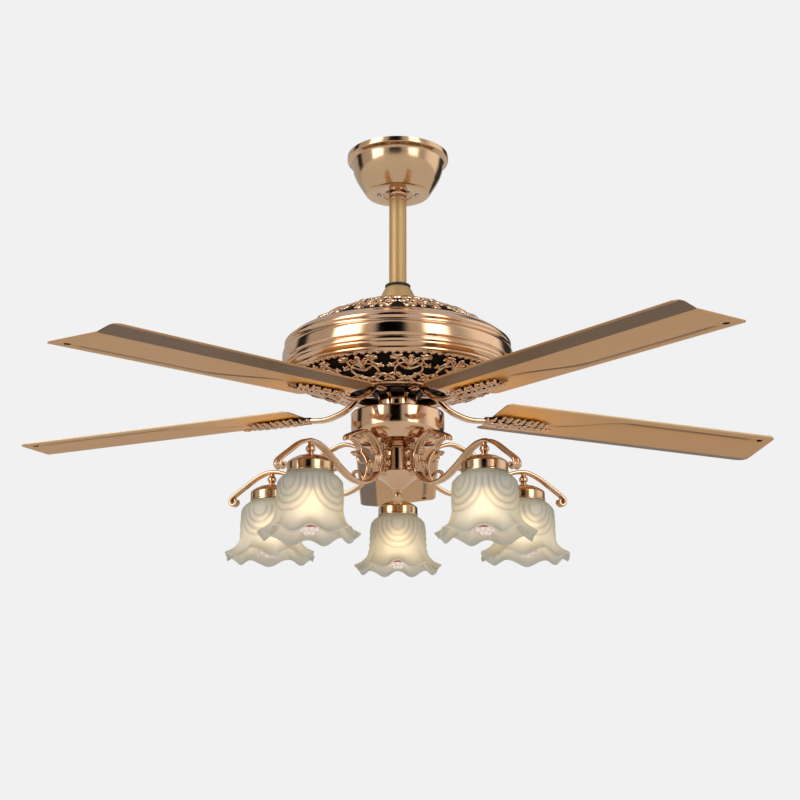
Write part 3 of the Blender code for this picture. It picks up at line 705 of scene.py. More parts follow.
def studio_world():
    """Even pale backdrop, with the bright and dark fields that the plating reflects."""
    world = bpy.data.worlds.new("soft_studio")
    bpy.context.scene.world = world
    world.use_nodes = True
    tree = world.node_tree
    tree.nodes.clear()
    aim = node(tree, "ShaderNodeTexCoord", {}).outputs["Generated"]
    split = node(tree, "ShaderNodeSeparateXYZ", {}, [(0, aim)])
    behind = node(tree, "ShaderNodeMath", {"operation": "MULTIPLY", 1: -1}, [(0, split.outputs["Y"])])
    round_turn = node(tree, "ShaderNodeMath", {"operation": "ARCTAN2"},
                      [(0, split.outputs["X"]), (1, behind.outputs[0])])
    # Each field: its middle and half width round the studio in degrees, its lowest and highest slope,
    # the softness of its edge in degrees, and its brightness.
    fields = [
        (-78, 20, -0.30, 0.75, 10, 0.55),
        (-50, 13, -0.45, 0.80, 5, 4.6),
        (38, 11, -0.40, 0.65, 5, 4.0),
        (98, 24, -0.25, 0.70, 12, 1.2),
        (-6, 15, -0.30, 0.95, 4, 0.0),
        (-108, 9, -0.40, 0.80, 4, 0.02),
        (140, 16, -0.30, 0.80, 6, 0.04),
        (-160, 20, -0.20, 0.80, 8, 0.5),
    ]
    fade = 0.06
    up = split.outputs["Z"]
    level = node(tree, "ShaderNodeMapRange", {1: -1, 2: 1, 3: 0.36, 4: 0.70}, [(0, up)]).outputs[0]
    for middle, half, low, high, soft, bright in fields:
        off = node(tree, "ShaderNodeMath", {"operation": "SUBTRACT", 1: math.radians(middle)},
                   [(0, round_turn.outputs[0])])
        wrapped = node(tree, "ShaderNodeMath", {"operation": "WRAP", 1: math.pi, 2: -math.pi},
                       [(0, off.outputs[0])])
        size = node(tree, "ShaderNodeMath", {"operation": "ABSOLUTE"}, [(0, wrapped.outputs[0])])
        far, near = math.radians(half + soft), math.radians(half - soft)
        across = node(tree, "ShaderNodeMapRange", {"interpolation_type": "SMOOTHSTEP", 1: far, 2: near},
                      [(0, size.outputs[0])])
        over = node(tree, "ShaderNodeMapRange",
                    {"interpolation_type": "SMOOTHSTEP", 1: low - fade, 2: low + fade}, [(0, up)])
        under = node(tree, "ShaderNodeMapRange",
                     {"interpolation_type": "SMOOTHSTEP", 1: high + fade, 2: high - fade}, [(0, up)])
        height = node(tree, "ShaderNodeMath", {"operation": "MULTIPLY"},
                      [(0, over.outputs[0]), (1, under.outputs[0])])
        share = node(tree, "ShaderNodeMath", {"operation": "MULTIPLY"},
                     [(0, across.outputs[0]), (1, height.outputs[0])])
        level = node(tree, "ShaderNodeMix", {"data_type": "FLOAT", 3: bright},
                     [(0, share.outputs[0]), (2, level)]).outputs[0]
    lighting = node(tree, "ShaderNodeBackground", {"Color": (*linear("#FFFBF6"), 1)},
                    [("Strength", level)])
    plain = node(tree, "ShaderNodeBackground", {"Color": (*linear("#F1F1F1"), 1), "Strength": 1})
    seen = node(tree, "ShaderNodeLightPath", {})
    mixed = node(tree, "ShaderNodeMixShader", {},
                 [(0, seen.outputs["Is Camera Ray"]), (1, lighting.outputs[0]), (2, plain.outputs[0])])
    node(tree, "ShaderNodeOutputWorld", {}, [(0, mixed.outputs[0])])


class FAN_OT_stage(bpy.types.Operator):
    """Makes the camera, the soft studio light, the pale floor and the light that the bulbs throw"""

    bl_idname = "fan.stage"
    bl_label = "Stage"

    def execute(self, context):
        scene = context.scene
        scene.view_settings.view_transform = "Standard"
        lens = bpy.data.cameras.new("camera")
        lens.lens = LENS
        lens.sensor_width = 36
        lens.clip_end = 100
        camera = bpy.data.objects.new("camera", lens)
        camera.location = EYE
        camera.rotation_euler = (math.radians(90 + EYE_TILT), 0, 0)
        scene.collection.objects.link(camera)
        scene.camera = camera
        studio_world()
        edit = bmesh.new()
        bmesh.ops.create_grid(edit, x_segments=8, y_segments=8, size=30)
        bmesh.ops.translate(edit, verts=edit.verts, vec=(0, 0, FLOOR_HEIGHT))
        mesh = bpy.data.meshes.new("floor")
        edit.to_mesh(mesh)
        edit.free()
        mesh.materials.append(finish("pale_floor_paint"))
        floor = bpy.data.objects.new("floor", mesh)
        scene.collection.objects.link(floor)
        for number, turn in enumerate(LAMP_TURNS, 1):
            lamp = bpy.data.lights.new(f"lamp_glow_{number}", "POINT")
            lamp.energy = GLOW_POWER
            lamp.color = linear("#FFDC74")
            lamp.shadow_soft_size = GLOW_RADIUS
            glow = bpy.data.objects.new(f"lamp_glow_{number}", lamp)
            scene.collection.objects.link(glow)
            glow.parent = frame["bodies"][HANGING]
            glow.location = (GLOW_REACH * math.cos(turn), GLOW_REACH * math.sin(turn), GLOW_HEIGHT)
            glow.visible_camera = False
            glow.visible_glossy = False
        return {"FINISHED"}


# ---------------------------------------------------------------- canopy and rod


class FAN_OT_canopy(bpy.types.Operator):
    """Makes the brushed canopy against the ceiling"""

    bl_idname = "fan.canopy"
    bl_label = "Canopy"

    def execute(self, context):
        wide = half_width("canopy")
        low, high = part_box("canopy")
        shell = turned([
            (wide, high.z, 0.0003), (wide, high.z - 0.0086, 0.0012), (0.0768, high.z - 0.0122, 0.0012),
            (0.0754, -0.0180), (0.0735, -0.0290), (0.0693, -0.0395), (0.0635, -0.0500),
            (0.0578, -0.0592), (0.0515, low.z, 0.0022), (0.0250, low.z, 0.0006),
            (0.0250, low.z + 0.0014), (0.0505, low.z + 0.0016), (0.0617, -0.0500), (0.0716, -0.0290),
            (0.0745, -0.0125), (wide - 0.0014, -0.0080), (wide - 0.0014, high.z),
        ])
        piece("canopy_shell", shell, ["brushed_satin_gold_plate"], MOUNT, ["canopy"])
        collar = turned([
            (0.0144, -0.0500), (0.0152, -0.0500, 0.0003), (0.0152, -0.0705), (0.0149, -0.0709),
            (0.0152, -0.0713), (0.0152, -0.0778, 0.0005), (0.0144, -0.0784, 0.0002),
        ], True, 64)
        piece("rod_collar", collar, ["buffed_rose_gold_plate"], HANGING)
        return {"FINISHED"}


class FAN_OT_downrod(bpy.types.Operator):
    """Makes the downrod, its rubber ring and the cover over its lower end"""

    bl_idname = "fan.downrod"
    bl_label = "Downrod"

    def execute(self, context):
        low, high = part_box("downrod")
        rod = half_width("downrod")
        bore = 0.0120
        tube = turned([(rod, high.z, 0.0004), (rod, low.z, 0.0004), (bore, low.z), (bore, high.z)],
                      True, 48)
        piece("downrod_tube", tube, ["baked_champagne_lacquer"], HANGING, ["downrod"])
        clear = rod + 0.0003
        ring = turned([
            (clear, -0.2264), (0.0206, -0.2264, 0.0012), (0.0210, -0.2303, 0.0012), (clear, -0.2303),
        ], True, 64)
        piece("rubber_washer", ring, ["moulded_black_rubber"], HANGING, ["rubber_ring"])
        cover = turned([
            (clear, -0.2306), (0.0192, -0.2306, 0.0009), (0.0222, -0.2350), (0.0262, -0.2430),
            (0.0300, -0.2520), (0.0340, -0.2600, 0.0008), (0.0340, -0.2606), (0.0326, -0.2606),
            (0.0285, -0.2520), (0.0245, -0.2430), (0.0195, -0.2322), (clear, -0.2320),
        ], True, 96)
        piece("yoke_cone", cover, ["baked_champagne_lacquer"], HANGING, ["yoke_cover"])
        return {"FINISHED"}


# ---------------------------------------------------------------- motor housing


SCROLL_REPEATS = 12
# Where the scrollwork starts on the shoulder and on the grille, how deep it reaches, and the radius at
# which its repeats meet.
SHOULDER_START, SHOULDER_DEPTH, SHOULDER_MIDDLE = 0.0625, 0.098, 0.115
GRILLE_START, GRILLE_DEPTH, GRILLE_MIDDLE = 0.0885, 0.080, 0.128
TOP_FACE = [
    (0.0350, -0.2612), (0.0600, -0.2655), (0.0950, -0.2780), (0.1300, -0.2965), (0.1540, -0.3110),
    (0.1640, -0.3175),
]
UNDER_FACE = [
    (0.0840, -0.4145), (0.0900, -0.4120), (0.1300, -0.4025), (0.1600, -0.3915), (0.1775, -0.3832),
]


def ring_pattern(depth, half, wire):
    """One repeat of the scrollwork: scrolls and lobes from a palmette, on both its sides."""
    side = [
        scroll((0.05 * half, 0.17 * depth), math.radians(40), 2.15 * half, 4.9, wire * 1.1, 15),
        scroll((0.02 * half, 0.52 * depth), math.radians(22), 1.35 * half, 4.6, wire),
        scroll((0.97 * half, 0.22 * depth), math.radians(125), 1.10 * half, 4.4, wire),
        scroll((0.97 * half, 0.60 * depth), math.radians(150), 1.05 * half, -4.2, wire * 0.9),
        scroll((0.55 * half, 0.10 * depth), math.radians(10), 0.75 * half, 4.0, wire * 0.85),
        lobe((0.42 * half, 0.38 * depth), math.radians(-35), 0.42 * half, -1.1, wire * 1.3),
        lobe((0.66 * half, 0.60 * depth), math.radians(15), 0.40 * half, 1.0, wire * 1.3),
        lobe((0.40 * half, 0.92 * depth), math.radians(-8), 0.50 * half, 0.5, wire * 1.25),
        lobe((0.10 * half, 0.92 * depth), math.radians(200), 0.30 * half, 0.5, wire * 1.2),
        lobe((0.04 * half, 0.20 * depth), math.radians(-58), 0.24 * depth, 0.7, wire * 1.35),
        lobe((0.04 * half, 0.24 * depth), math.radians(-22), 0.20 * depth, 1.1, wire * 1.25),
        lobe((0.03 * half, 0.62 * depth), math.radians(62), 0.26 * depth, -0.6, wire * 1.25),
        lobe((0.96 * half, 0.90 * depth), math.radians(215), 0.24 * depth, -0.7, wire * 1.2),
    ]
    middle = [
        lobe((0, 0.24 * depth), math.radians(-90), 0.26 * depth, 0, wire * 1.5),
        lobe((0, 0.56 * depth), math.radians(90), 0.36 * depth, 0, wire * 1.8),
        lobe((half, 0.24 * depth), math.radians(-90), 0.18 * depth, 0, wire * 1.3),
    ]
    return both_sides(side) + middle


class FAN_OT_housing(bpy.types.Operator):
    """Makes the motor housing's moulded shell and the scrollwork on its shoulder"""

    bl_idname = "fan.housing"
    bl_label = "Motor housing"

    def execute(self, context):
        wide = half_width("housing_dome")
        shell = turned([
            (0.0120, -0.2603), (0.0350, -0.2610), (0.0560, -0.2642, 0.0010), (0.0575, -0.2665, 0.0006),
            (0.0950, -0.2796), (0.1300, -0.2981), (0.1540, -0.3126), (0.1622, -0.3180, 0.0006),
            (0.1638, -0.3163, 0.0010), (0.1690, -0.3192, 0.0016), (0.1745, -0.3240, 0.0020),
            (0.1772, -0.3275, 0.0010), (0.1790, -0.3280, 0.0006), (0.1822, -0.3300, 0.0014),
            (0.1828, -0.3345, 0.0016), (0.1806, -0.3375, 0.0010), (0.1806, -0.3400, 0.0006),
            (0.1818, -0.3420, 0.0005), (wide, -0.3462, 0.0028), (wide, -0.3628, 0.0020),
            (0.1832, -0.3660, 0.0008), (0.1850, -0.3676, 0.0010), (0.1851, -0.3722, 0.0014),
            (0.1832, -0.3742, 0.0006), (0.1836, -0.3764, 0.0008), (0.1806, -0.3807, 0.0010),
            (0.1780, -0.3815, 0.0003), (0.1780, -0.3700), (0.1833, -0.3640), (0.1833, -0.3490),
            (0.1792, -0.3420), (0.1797, -0.3340), (0.1745, -0.3278), (0.1530, -0.3142), (0.0940, -0.2815),
            (0.0600, -0.2692), (0.0120, -0.2622),
        ])
        # The shoulder's face under the scrollwork is black, as painted shade behind the openwork.
        for face in shell.faces:
            centre = face.calc_center_median()
            reach = math.hypot(centre.x, centre.y)
            face.material_index = int(0.0568 < reach < 0.1622 and centre.z > -0.3182)
        piece("housing_shell", shell, ["buffed_rose_gold_plate", "black_painted_shade"], HANGING,
              ["housing_dome"])
        wire = context.scene.fan_sizes.scroll_wire
        half = math.pi * SHOULDER_MIDDLE / SCROLL_REPEATS
        strokes = ring_pattern(SHOULDER_DEPTH, half, wire)
        relief = copies(wires(on_ring(strokes, TOP_FACE, SHOULDER_START, 0, -0.0010)),
                        [math.tau * (i + 0.5) / SCROLL_REPEATS for i in range(SCROLL_REPEATS)])
        piece("shoulder_scrolls", relief, ["buffed_rose_gold_plate"], HANGING, sharp=60)
        return {"FINISHED"}


class FAN_OT_grille(bpy.types.Operator):
    """Makes the openwork grille under the motor, with its black pan of painted shade and its border rings
    """

    bl_idname = "fan.grille"
    bl_label = "Grille"

    def execute(self, context):
        rim = half_width("housing_grille")
        # The pan is black, as painted shade seen through the openwork.
        pan = turned([
            (rim, -0.3790), (rim, -0.3820), (0.1600, -0.3893), (0.1300, -0.4003), (0.0900, -0.4098),
            (0.0775, -0.4098), (0.0775, -0.4085), (0.0895, -0.4085), (0.1295, -0.3990), (0.1595, -0.3880),
            (0.1730, -0.3815), (0.1730, -0.3790),
        ])
        piece("grille_pan", pan, ["black_painted_shade"], HANGING, ["housing_grille"])
        outer = turned([
            (0.1778, -0.3812, 0.0003), (0.1778, -0.3845, 0.0010), (0.1735, -0.3868, 0.0010),
            (0.1690, -0.3882, 0.0008), (0.1690, -0.3850), (0.1735, -0.3825),
        ])
        inner = turned([
            (0.0775, -0.4086), (0.0900, -0.4086), (0.0905, -0.4130, 0.0008), (0.0868, -0.4152, 0.0014),
            (0.0830, -0.4138, 0.0006), (0.0800, -0.4152, 0.0010), (0.0775, -0.4150, 0.0005),
        ])
        wire = context.scene.fan_sizes.scroll_wire
        half = math.pi * GRILLE_MIDDLE / SCROLL_REPEATS
        strokes = ring_pattern(GRILLE_DEPTH, half, wire)
        relief = copies(wires(on_ring(strokes, UNDER_FACE, GRILLE_START, 0, 0.0004)),
                        [math.tau * (i + 0.25) / SCROLL_REPEATS for i in range(SCROLL_REPEATS)])
        darts = [lobe((-0.0040, 0.0795), 0.25, 0.0085, -0.5, wire * 1.1)]
        dart_count = 90
        border = copies(wires(on_ring(darts, UNDER_FACE, GRILLE_START, 0, 0.0002)),
                        [math.tau * i / dart_count for i in range(dart_count)])
        whole = joined(outer, inner, relief, border)
        piece("grille_scrolls", whole, ["buffed_rose_gold_plate"], HANGING, sharp=60)
        return {"FINISHED"}


# ---------------------------------------------------------------- blades and irons


BLADE_ROOT, BLADE_TIP = 0.160, 0.670
BLADE_SLANT = 0.025
BLADE_THICK, BLADE_CORNER = 0.0015, 0.012
CHORD_ROOT, CHORD_GAIN = 0.148, 0.006
# The fold turns up from this share of the chord, at this slope.
FOLD_SHARE, FOLD_SLOPE = 0.28, math.tan(math.radians(12))
# The groove runs between these distances from the blade's root, fades in and out over the next two, and
# swings across to its side over the bend.
GROOVE_START, GROOVE_END = 0.108, 0.474
GROOVE_IN, GROOVE_OUT = 0.02, 0.012
GROOVE_BEND, GROOVE_SIDE, GROOVE_HALF = 0.125, -0.0530, 0.0060
HOLE_ALONG, HOLE_RADIUS = 0.468, 0.0046
# Degrees that a blade hangs, that it hangs more or less than the next, and that it is pitched.
DROOP, UNEVEN, PITCH = 2.55, 1.6, 5
# For each blade: the side of its fold, the sense of its pitch, and whether it hangs lower or higher.
BLADE_SETS = {1: (1, 1, 1), 2: (-1, 1, 0), 3: (1, 1, 1), 4: (-1, -1, -1), 5: (1, 1, 0)}
LEAF_ROOT, LEAF_TIP = 0.148, 0.268
LEAF_LONG = LEAF_TIP - LEAF_ROOT
LEAF_TOP = -0.4380
LEAF_SWELL = 0.0058
# Half the leaf's width along its length: two swellings and a point.
LEAF_HALVES = [
    (0, 0.010), (0.13, 0.017), (0.27, 0.028), (0.42, 0.0235), (0.62, 0.025), (0.83, 0.015), (1, 0.0015),
]


def blade_frame(number):
    """The frame of a blade and its leaf, from the leaf's root: X out along it and Y across it."""
    _, sense, uneven = BLADE_SETS[number]
    droop = Matrix.Rotation(math.radians(DROOP + UNEVEN * uneven), 4, "Y")
    pitch = Matrix.Rotation(math.radians(-PITCH * sense), 4, "X")
    return Matrix.Translation((LEAF_ROOT, 0, LEAF_TOP)) @ droop @ pitch


def leaf_bulge(along, across):
    """How far the leaf swells below its flat top, at a share of its length and a place across it."""
    half = value_at(LEAF_HALVES, along) + 0.002
    return LEAF_SWELL * max(0.0, 1 - (across / half) ** 2)


def leaf_strokes(wire):
    """The leaf's scrolls and lobes along and across its flat."""
    side = []
    for index in range(9):
        along = 0.05 + 0.098 * index
        full = value_at(LEAF_HALVES, along)
        base = LEAF_LONG * along
        root = (0.0012, base)
        lean = math.radians(52 - 3 * index)
        side.append(scroll(root, lean, full * 1.10, 3.4 if index % 2 else -3.2, wire * 0.9, 10))
        outer, inner = (full * 0.48, base + 0.002), (full * 0.42, base - 0.004)
        side.append(lobe(outer, math.radians(24), full * 0.60, 1.0, wire * 1.5))
        side.append(lobe(inner, math.radians(-8), full * 0.60, 0.8, wire * 1.4))
    vein = [(Vector((0, LEAF_LONG * i / 12)), wire * (1.35 - 0.07 * i)) for i in range(13)]
    tip = lobe((0, LEAF_LONG * 0.88), math.radians(90), LEAF_LONG * 0.13, 0, wire * 1.2)
    return both_sides(side) + [vein, tip]


class FAN_OT_irons(bpy.types.Operator):
    """Makes the blade irons: a bent bar and a cast openwork leaf under each blade"""

    bl_idname = "fan.irons"
    bl_label = "Blade irons"

    def execute(self, context):
        wire = context.scene.fan_sizes.scroll_wire * 0.8
        top = -0.4083
        flat = LEAF_TOP - 0.0052
        bends = [
            (0.040, top), (0.052, top), (0.063, top - 0.001), (0.073, top - 0.0105), (0.086, -0.4295),
            (0.102, -0.4375), (0.125, flat - 0.0005), (0.157, flat),
        ]
        bar = flat_bar(smooth_route(bends, 6), 0.0160, 0.0070)
        strokes = []
        for stroke in leaf_strokes(wire):
            strokes.append([
                (Vector((p.y, p.x, -0.0020 - leaf_bulge(p.y / LEAF_LONG, p.x))), r) for p, r in stroke
            ])
        leaf = wires(strokes)
        # The black plate behind the openwork is painted shade for the gaps; it is a little shorter and
        # narrower than the leaf.
        plate = bmesh.new()
        bmesh.ops.create_grid(plate, x_segments=14, y_segments=6, size=1)
        for vert in plate.verts:
            along = (vert.co.x + 1) / 2
            across = value_at(LEAF_HALVES, along) * 0.62 * vert.co.y
            below = -0.0004 - 0.75 * leaf_bulge(along, across)
            vert.co = (LEAF_LONG * along * 0.84, across, below)
        bmesh.ops.recalc_face_normals(plate, faces=plate.faces)
        grown = bmesh.ops.extrude_face_region(plate, geom=plate.faces[:])["geom"]
        for vert in verts_of(grown):
            vert.co.z = 0
        closed(plate)
        for face in plate.faces:
            face.material_index = 1
        leaf = joined(leaf, plate)
        source, stem = bpy.data.meshes.new("leaf"), bpy.data.meshes.new("stem")
        leaf.to_mesh(source)
        bar.to_mesh(stem)
        leaf.free()
        bar.free()
        for number, turn in enumerate(LAMP_TURNS, 1):
            edit = bmesh.new()
            edit.from_mesh(source)
            edit.transform(blade_frame(number))
            edit.from_mesh(stem)
            edit.transform(Matrix.Rotation(turn, 4, "Z"))
            finishes = ["buffed_rose_gold_plate", "black_painted_shade"]
            piece(f"cast_iron_{number}", edit, finishes, SPINNING, [f"blade_iron_{number}"], 60)
        bpy.data.meshes.remove(stem)
        bpy.data.meshes.remove(source)
        return {"FINISHED"}


def groove_place(along):
    """Where the groove lies across the blade and how much of it shows, at a distance from the root."""
    t = clamped((along - GROOVE_START) / GROOVE_BEND)
    shown = clamped((along - GROOVE_START) / GROOVE_IN) * clamped((GROOVE_END - along) / GROOVE_OUT)
    return GROOVE_SIDE * (3 * t**2 - 2 * t**3), shown


def blade_rows(chord, along):
    """Places across the blade of its lengthwise lines, with each line's painted light: below 0 painted
    shade, above 0 a painted highlight.
    """
    edge = chord / 2
    fold = chord * FOLD_SHARE
    groove, shown = groove_place(along)
    # The lip's lines get a painted highlight, and the groove's lines get painted shade.
    rows = [
        (-edge, 0.8), (-edge + 0.0010, 0.8), (-edge + 0.0032, 0.7), (-edge + 0.0042, 0.0),
        (-edge + 0.0075, 0.0), (-edge + 0.0120, 0.0), (groove - GROOVE_HALF, 0.0),
        (groove - GROOVE_HALF / 2, -0.55 * shown), (groove, -1.0 * shown),
        (groove + GROOVE_HALF / 2, -0.55 * shown), (groove + GROOVE_HALF, 0.0),
    ]
    inside = groove + GROOVE_HALF
    rows += [(inside + (fold - 0.0012 - inside) * i / 7, 0.0) for i in range(1, 8)]
    # The fold and the far edge get painted shade.
    rows += [(fold, -0.18), (fold + 0.0012, -0.95)]
    rows += [(fold + 0.0012 + (edge - 0.0120 - fold - 0.0012) * i / 3, -0.95) for i in range(1, 4)]
    rows += [(edge - 0.0075, -0.95), (edge - 0.0042, -0.95), (edge - 0.0015, -0.36), (edge, -0.3)]
    return rows


class FAN_OT_blades(bpy.types.Operator):
    """Makes the five pressed-steel blades, with their fold, groove, lip and hole"""

    bl_idname = "fan.blades"
    bl_label = "Blades"

    def execute(self, context):
        long = BLADE_TIP - BLADE_ROOT
        depth = context.scene.fan_sizes.blade_groove
        columns = len(blade_rows(0.15, 0.3)) - 1
        sheet = bmesh.new()
        bmesh.ops.create_grid(sheet, x_segments=110, y_segments=columns, size=1, calc_uvs=True)
        # This attribute carries the painted shade and painted highlights over the sheet.
        painted_shading = sheet.verts.layers.float.new("painted_shading")
        uv = sheet.loops.layers.uv.new("sheet")
        for vert in sheet.verts:
            share = (vert.co.x + 1) / 2
            row = round((vert.co.y + 1) / 2 * columns)
            chord = CHORD_ROOT + CHORD_GAIN * share
            across, shade = blade_rows(chord, long * share)[row]
            past = max(0.0, abs(across) - (chord / 2 - BLADE_CORNER))
            inset = BLADE_CORNER - math.sqrt(max(0.0, BLADE_CORNER**2 - past**2))
            tip = long + BLADE_SLANT * (across / chord - 0.5) - inset
            along = inset + (tip - inset) * share
            rise = max(0.0, across - chord * FOLD_SHARE) * FOLD_SLOPE
            groove, pressed = groove_place(along)
            rise += depth * pressed * max(0.0, 1 - abs(across - groove) / GROOVE_HALF)
            # The other edge has a narrow lip.
            rise += max(0.0, -across - (chord / 2 - 0.0035)) * 0.35
            vert.co = (along, across, rise)
            vert[painted_shading] = shade
        for face in sheet.faces:
            for loop in face.loops:
                loop[uv].uv = (loop.vert.co.x, loop.vert.co.y)
        bmesh.ops.recalc_face_normals(sheet, faces=sheet.faces)
        if sum(face.normal.z for face in sheet.faces) > 0:
            bmesh.ops.reverse_faces(sheet, faces=sheet.faces)
        grown = bmesh.ops.extrude_face_region(sheet, geom=sheet.faces[:], use_keep_orig=True)["geom"]
        bmesh.ops.translate(sheet, verts=verts_of(grown), vec=(0, 0, BLADE_THICK))
        bmesh.ops.recalc_face_normals(sheet, faces=sheet.faces)
        hole = turned([
            (0, 0.0006), (HOLE_RADIUS, 0.0006), (HOLE_RADIUS, -0.0004, 0.0003), (0, -0.0004),
        ], False, 24)
        hole.transform(Matrix.Translation((HOLE_ALONG, GROOVE_SIDE, 0.0)))
        # The hole is a black disc: painted shade for the opening.
        for face in hole.faces:
            face.material_index = 1
        sheet = joined(sheet, hole)
        sheet.transform(Matrix.Translation((BLADE_ROOT - LEAF_ROOT, 0, 0.0003)))
        source = bpy.data.meshes.new("blade")
        sheet.to_mesh(source)
        sheet.free()
        for number, turn in enumerate(LAMP_TURNS, 1):
            edit = bmesh.new()
            edit.from_mesh(source)
            side = BLADE_SETS[number][0]
            edit.transform(Matrix.Diagonal((1, side, 1, 1)))
            if side < 0:
                bmesh.ops.reverse_faces(edit, faces=edit.faces)
            edit.transform(Matrix.Rotation(turn, 4, "Z") @ blade_frame(number))
            finishes = ["champagne_blade_coat", "black_painted_shade"]
            piece(f"pressed_blade_{number}", edit, finishes, SPINNING, [f"blade_{number}"], 50)
        bpy.data.meshes.remove(source)
        return {"FINISHED"}


# ---------------------------------------------------------------- switch cup and column


class FAN_OT_cup(bpy.types.Operator):
    """Makes the neck, switch cup, column, cone and finial, with the cup's screws"""

    bl_idname = "fan.cup"
    bl_label = "Switch cup"

    def execute(self, context):
        cup = half_width("switch_cup")
        neck = half_width("fitter_neck")
        piece("neck_tube", turned([
            (0.0090, -0.4000), (neck - 0.001, -0.4000, 0.0006), (neck, -0.4022, 0.0006),
            (neck, -0.4422, 0.0004), (0.0300, -0.4422), (0.0300, -0.4030), (0.0090, -0.4030),
        ], True, 96), ["buffed_rose_gold_plate"], HANGING, ["fitter_neck"])
        piece("cup_shell", turned([
            (0.0200, -0.4425), (0.0735, -0.4425, 0.0008), (cup, -0.4445, 0.0008), (cup, -0.4700, 0.0060),
            (0.0715, -0.4810, 0.0040), (0.0620, -0.4905, 0.0050), (0.0440, -0.4975, 0.0050),
            (0.0240, -0.4998, 0.0004), (0.0240, -0.4982), (0.0435, -0.4958), (0.0612, -0.4889),
            (0.0700, -0.4802), (0.0728, -0.4700), (0.0728, -0.4441), (0.0200, -0.4441),
        ]), ["buffed_rose_gold_plate"], HANGING, ["switch_cup"])
        column = half_width("kit_column")
        piece("column_tube", turned([
            (0.0230, -0.5001), (column, -0.5001, 0.0004), (column, -0.5022), (column - 0.0008, -0.5027),
            (column - 0.0008, -0.5352), (column, -0.5357), (column, -0.5380, 0.0004), (0.0230, -0.5380),
        ], True, 96), ["buffed_rose_gold_plate"], HANGING, ["kit_column"])
        piece("cone_shell", turned([
            (0, -0.5383), (0.0370, -0.5383, 0.0010), (0.0395, -0.5397, 0.0006), (0.0395, -0.5412, 0.0006),
            (0.0335, -0.5450), (0.0268, -0.5492), (0.0205, -0.5538), (0.0150, -0.5583), (0.0108, -0.5624),
            (0.0078, -0.5655, 0.0006), (0.0072, -0.5676, 0.0003), (0, -0.5676),
        ], False, 96), ["buffed_rose_gold_plate"], HANGING, ["kit_cone"])
        low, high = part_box("finial")
        ball = half_width("finial")
        centre = low.z + ball
        points = [(ball * math.sin(a), centre + ball * math.cos(a))
                  for a in [math.pi * (0.16 + 0.84 * i / 14) for i in range(14)]]
        turning = turned([(0, high.z), *points, (0, low.z)], False, 48)
        piece("finial_ball", turning, ["buffed_rose_gold_plate"], HANGING, ["finial"])
        heads = []
        for degrees in (63, 153, 243, 333):
            out = Vector((math.cos(math.radians(degrees)), math.sin(math.radians(degrees)), 0))
            heads.append(screw_head(out * (cup - 0.0002) + Vector((0, 0, -0.4490)), out, 0.0036))
        piece("cup_screws", joined(*heads), ["zinc_plated_steel"], HANGING)
        return {"FINISHED"}


# ---------------------------------------------------------------- arms and lamps


LAMP_REACH = 0.2147
HOLDER_RADIUS = 0.034
ARM_WIDE = 0.0145
ARM_BENDS = [
    (0.1305, -0.5075), (0.1285, -0.5015), (0.1200, -0.4975), (0.110, -0.4930), (0.088, -0.4865),
    (0.064, -0.4960), (0.0495, -0.5190), (0.0560, -0.5480), (0.0830, -0.5655), (0.1150, -0.5660),
    (0.1500, -0.5510),
    (0.1860, -0.5300), (0.2147, -0.5240), (0.2380, -0.5310), (0.2620, -0.5470), (0.2790, -0.5590),
    (0.2850, -0.5650), (0.2860, -0.5715), (0.2805, -0.5750), (0.2755, -0.5710), (0.2775, -0.5665),
]


def beside(strokes, off):
    """Stands flat strokes upright in an arm's own plane, moved off it along Y."""
    return [[(Vector((p.x, off, p.y)), r) for p, r in stroke] for stroke in strokes]


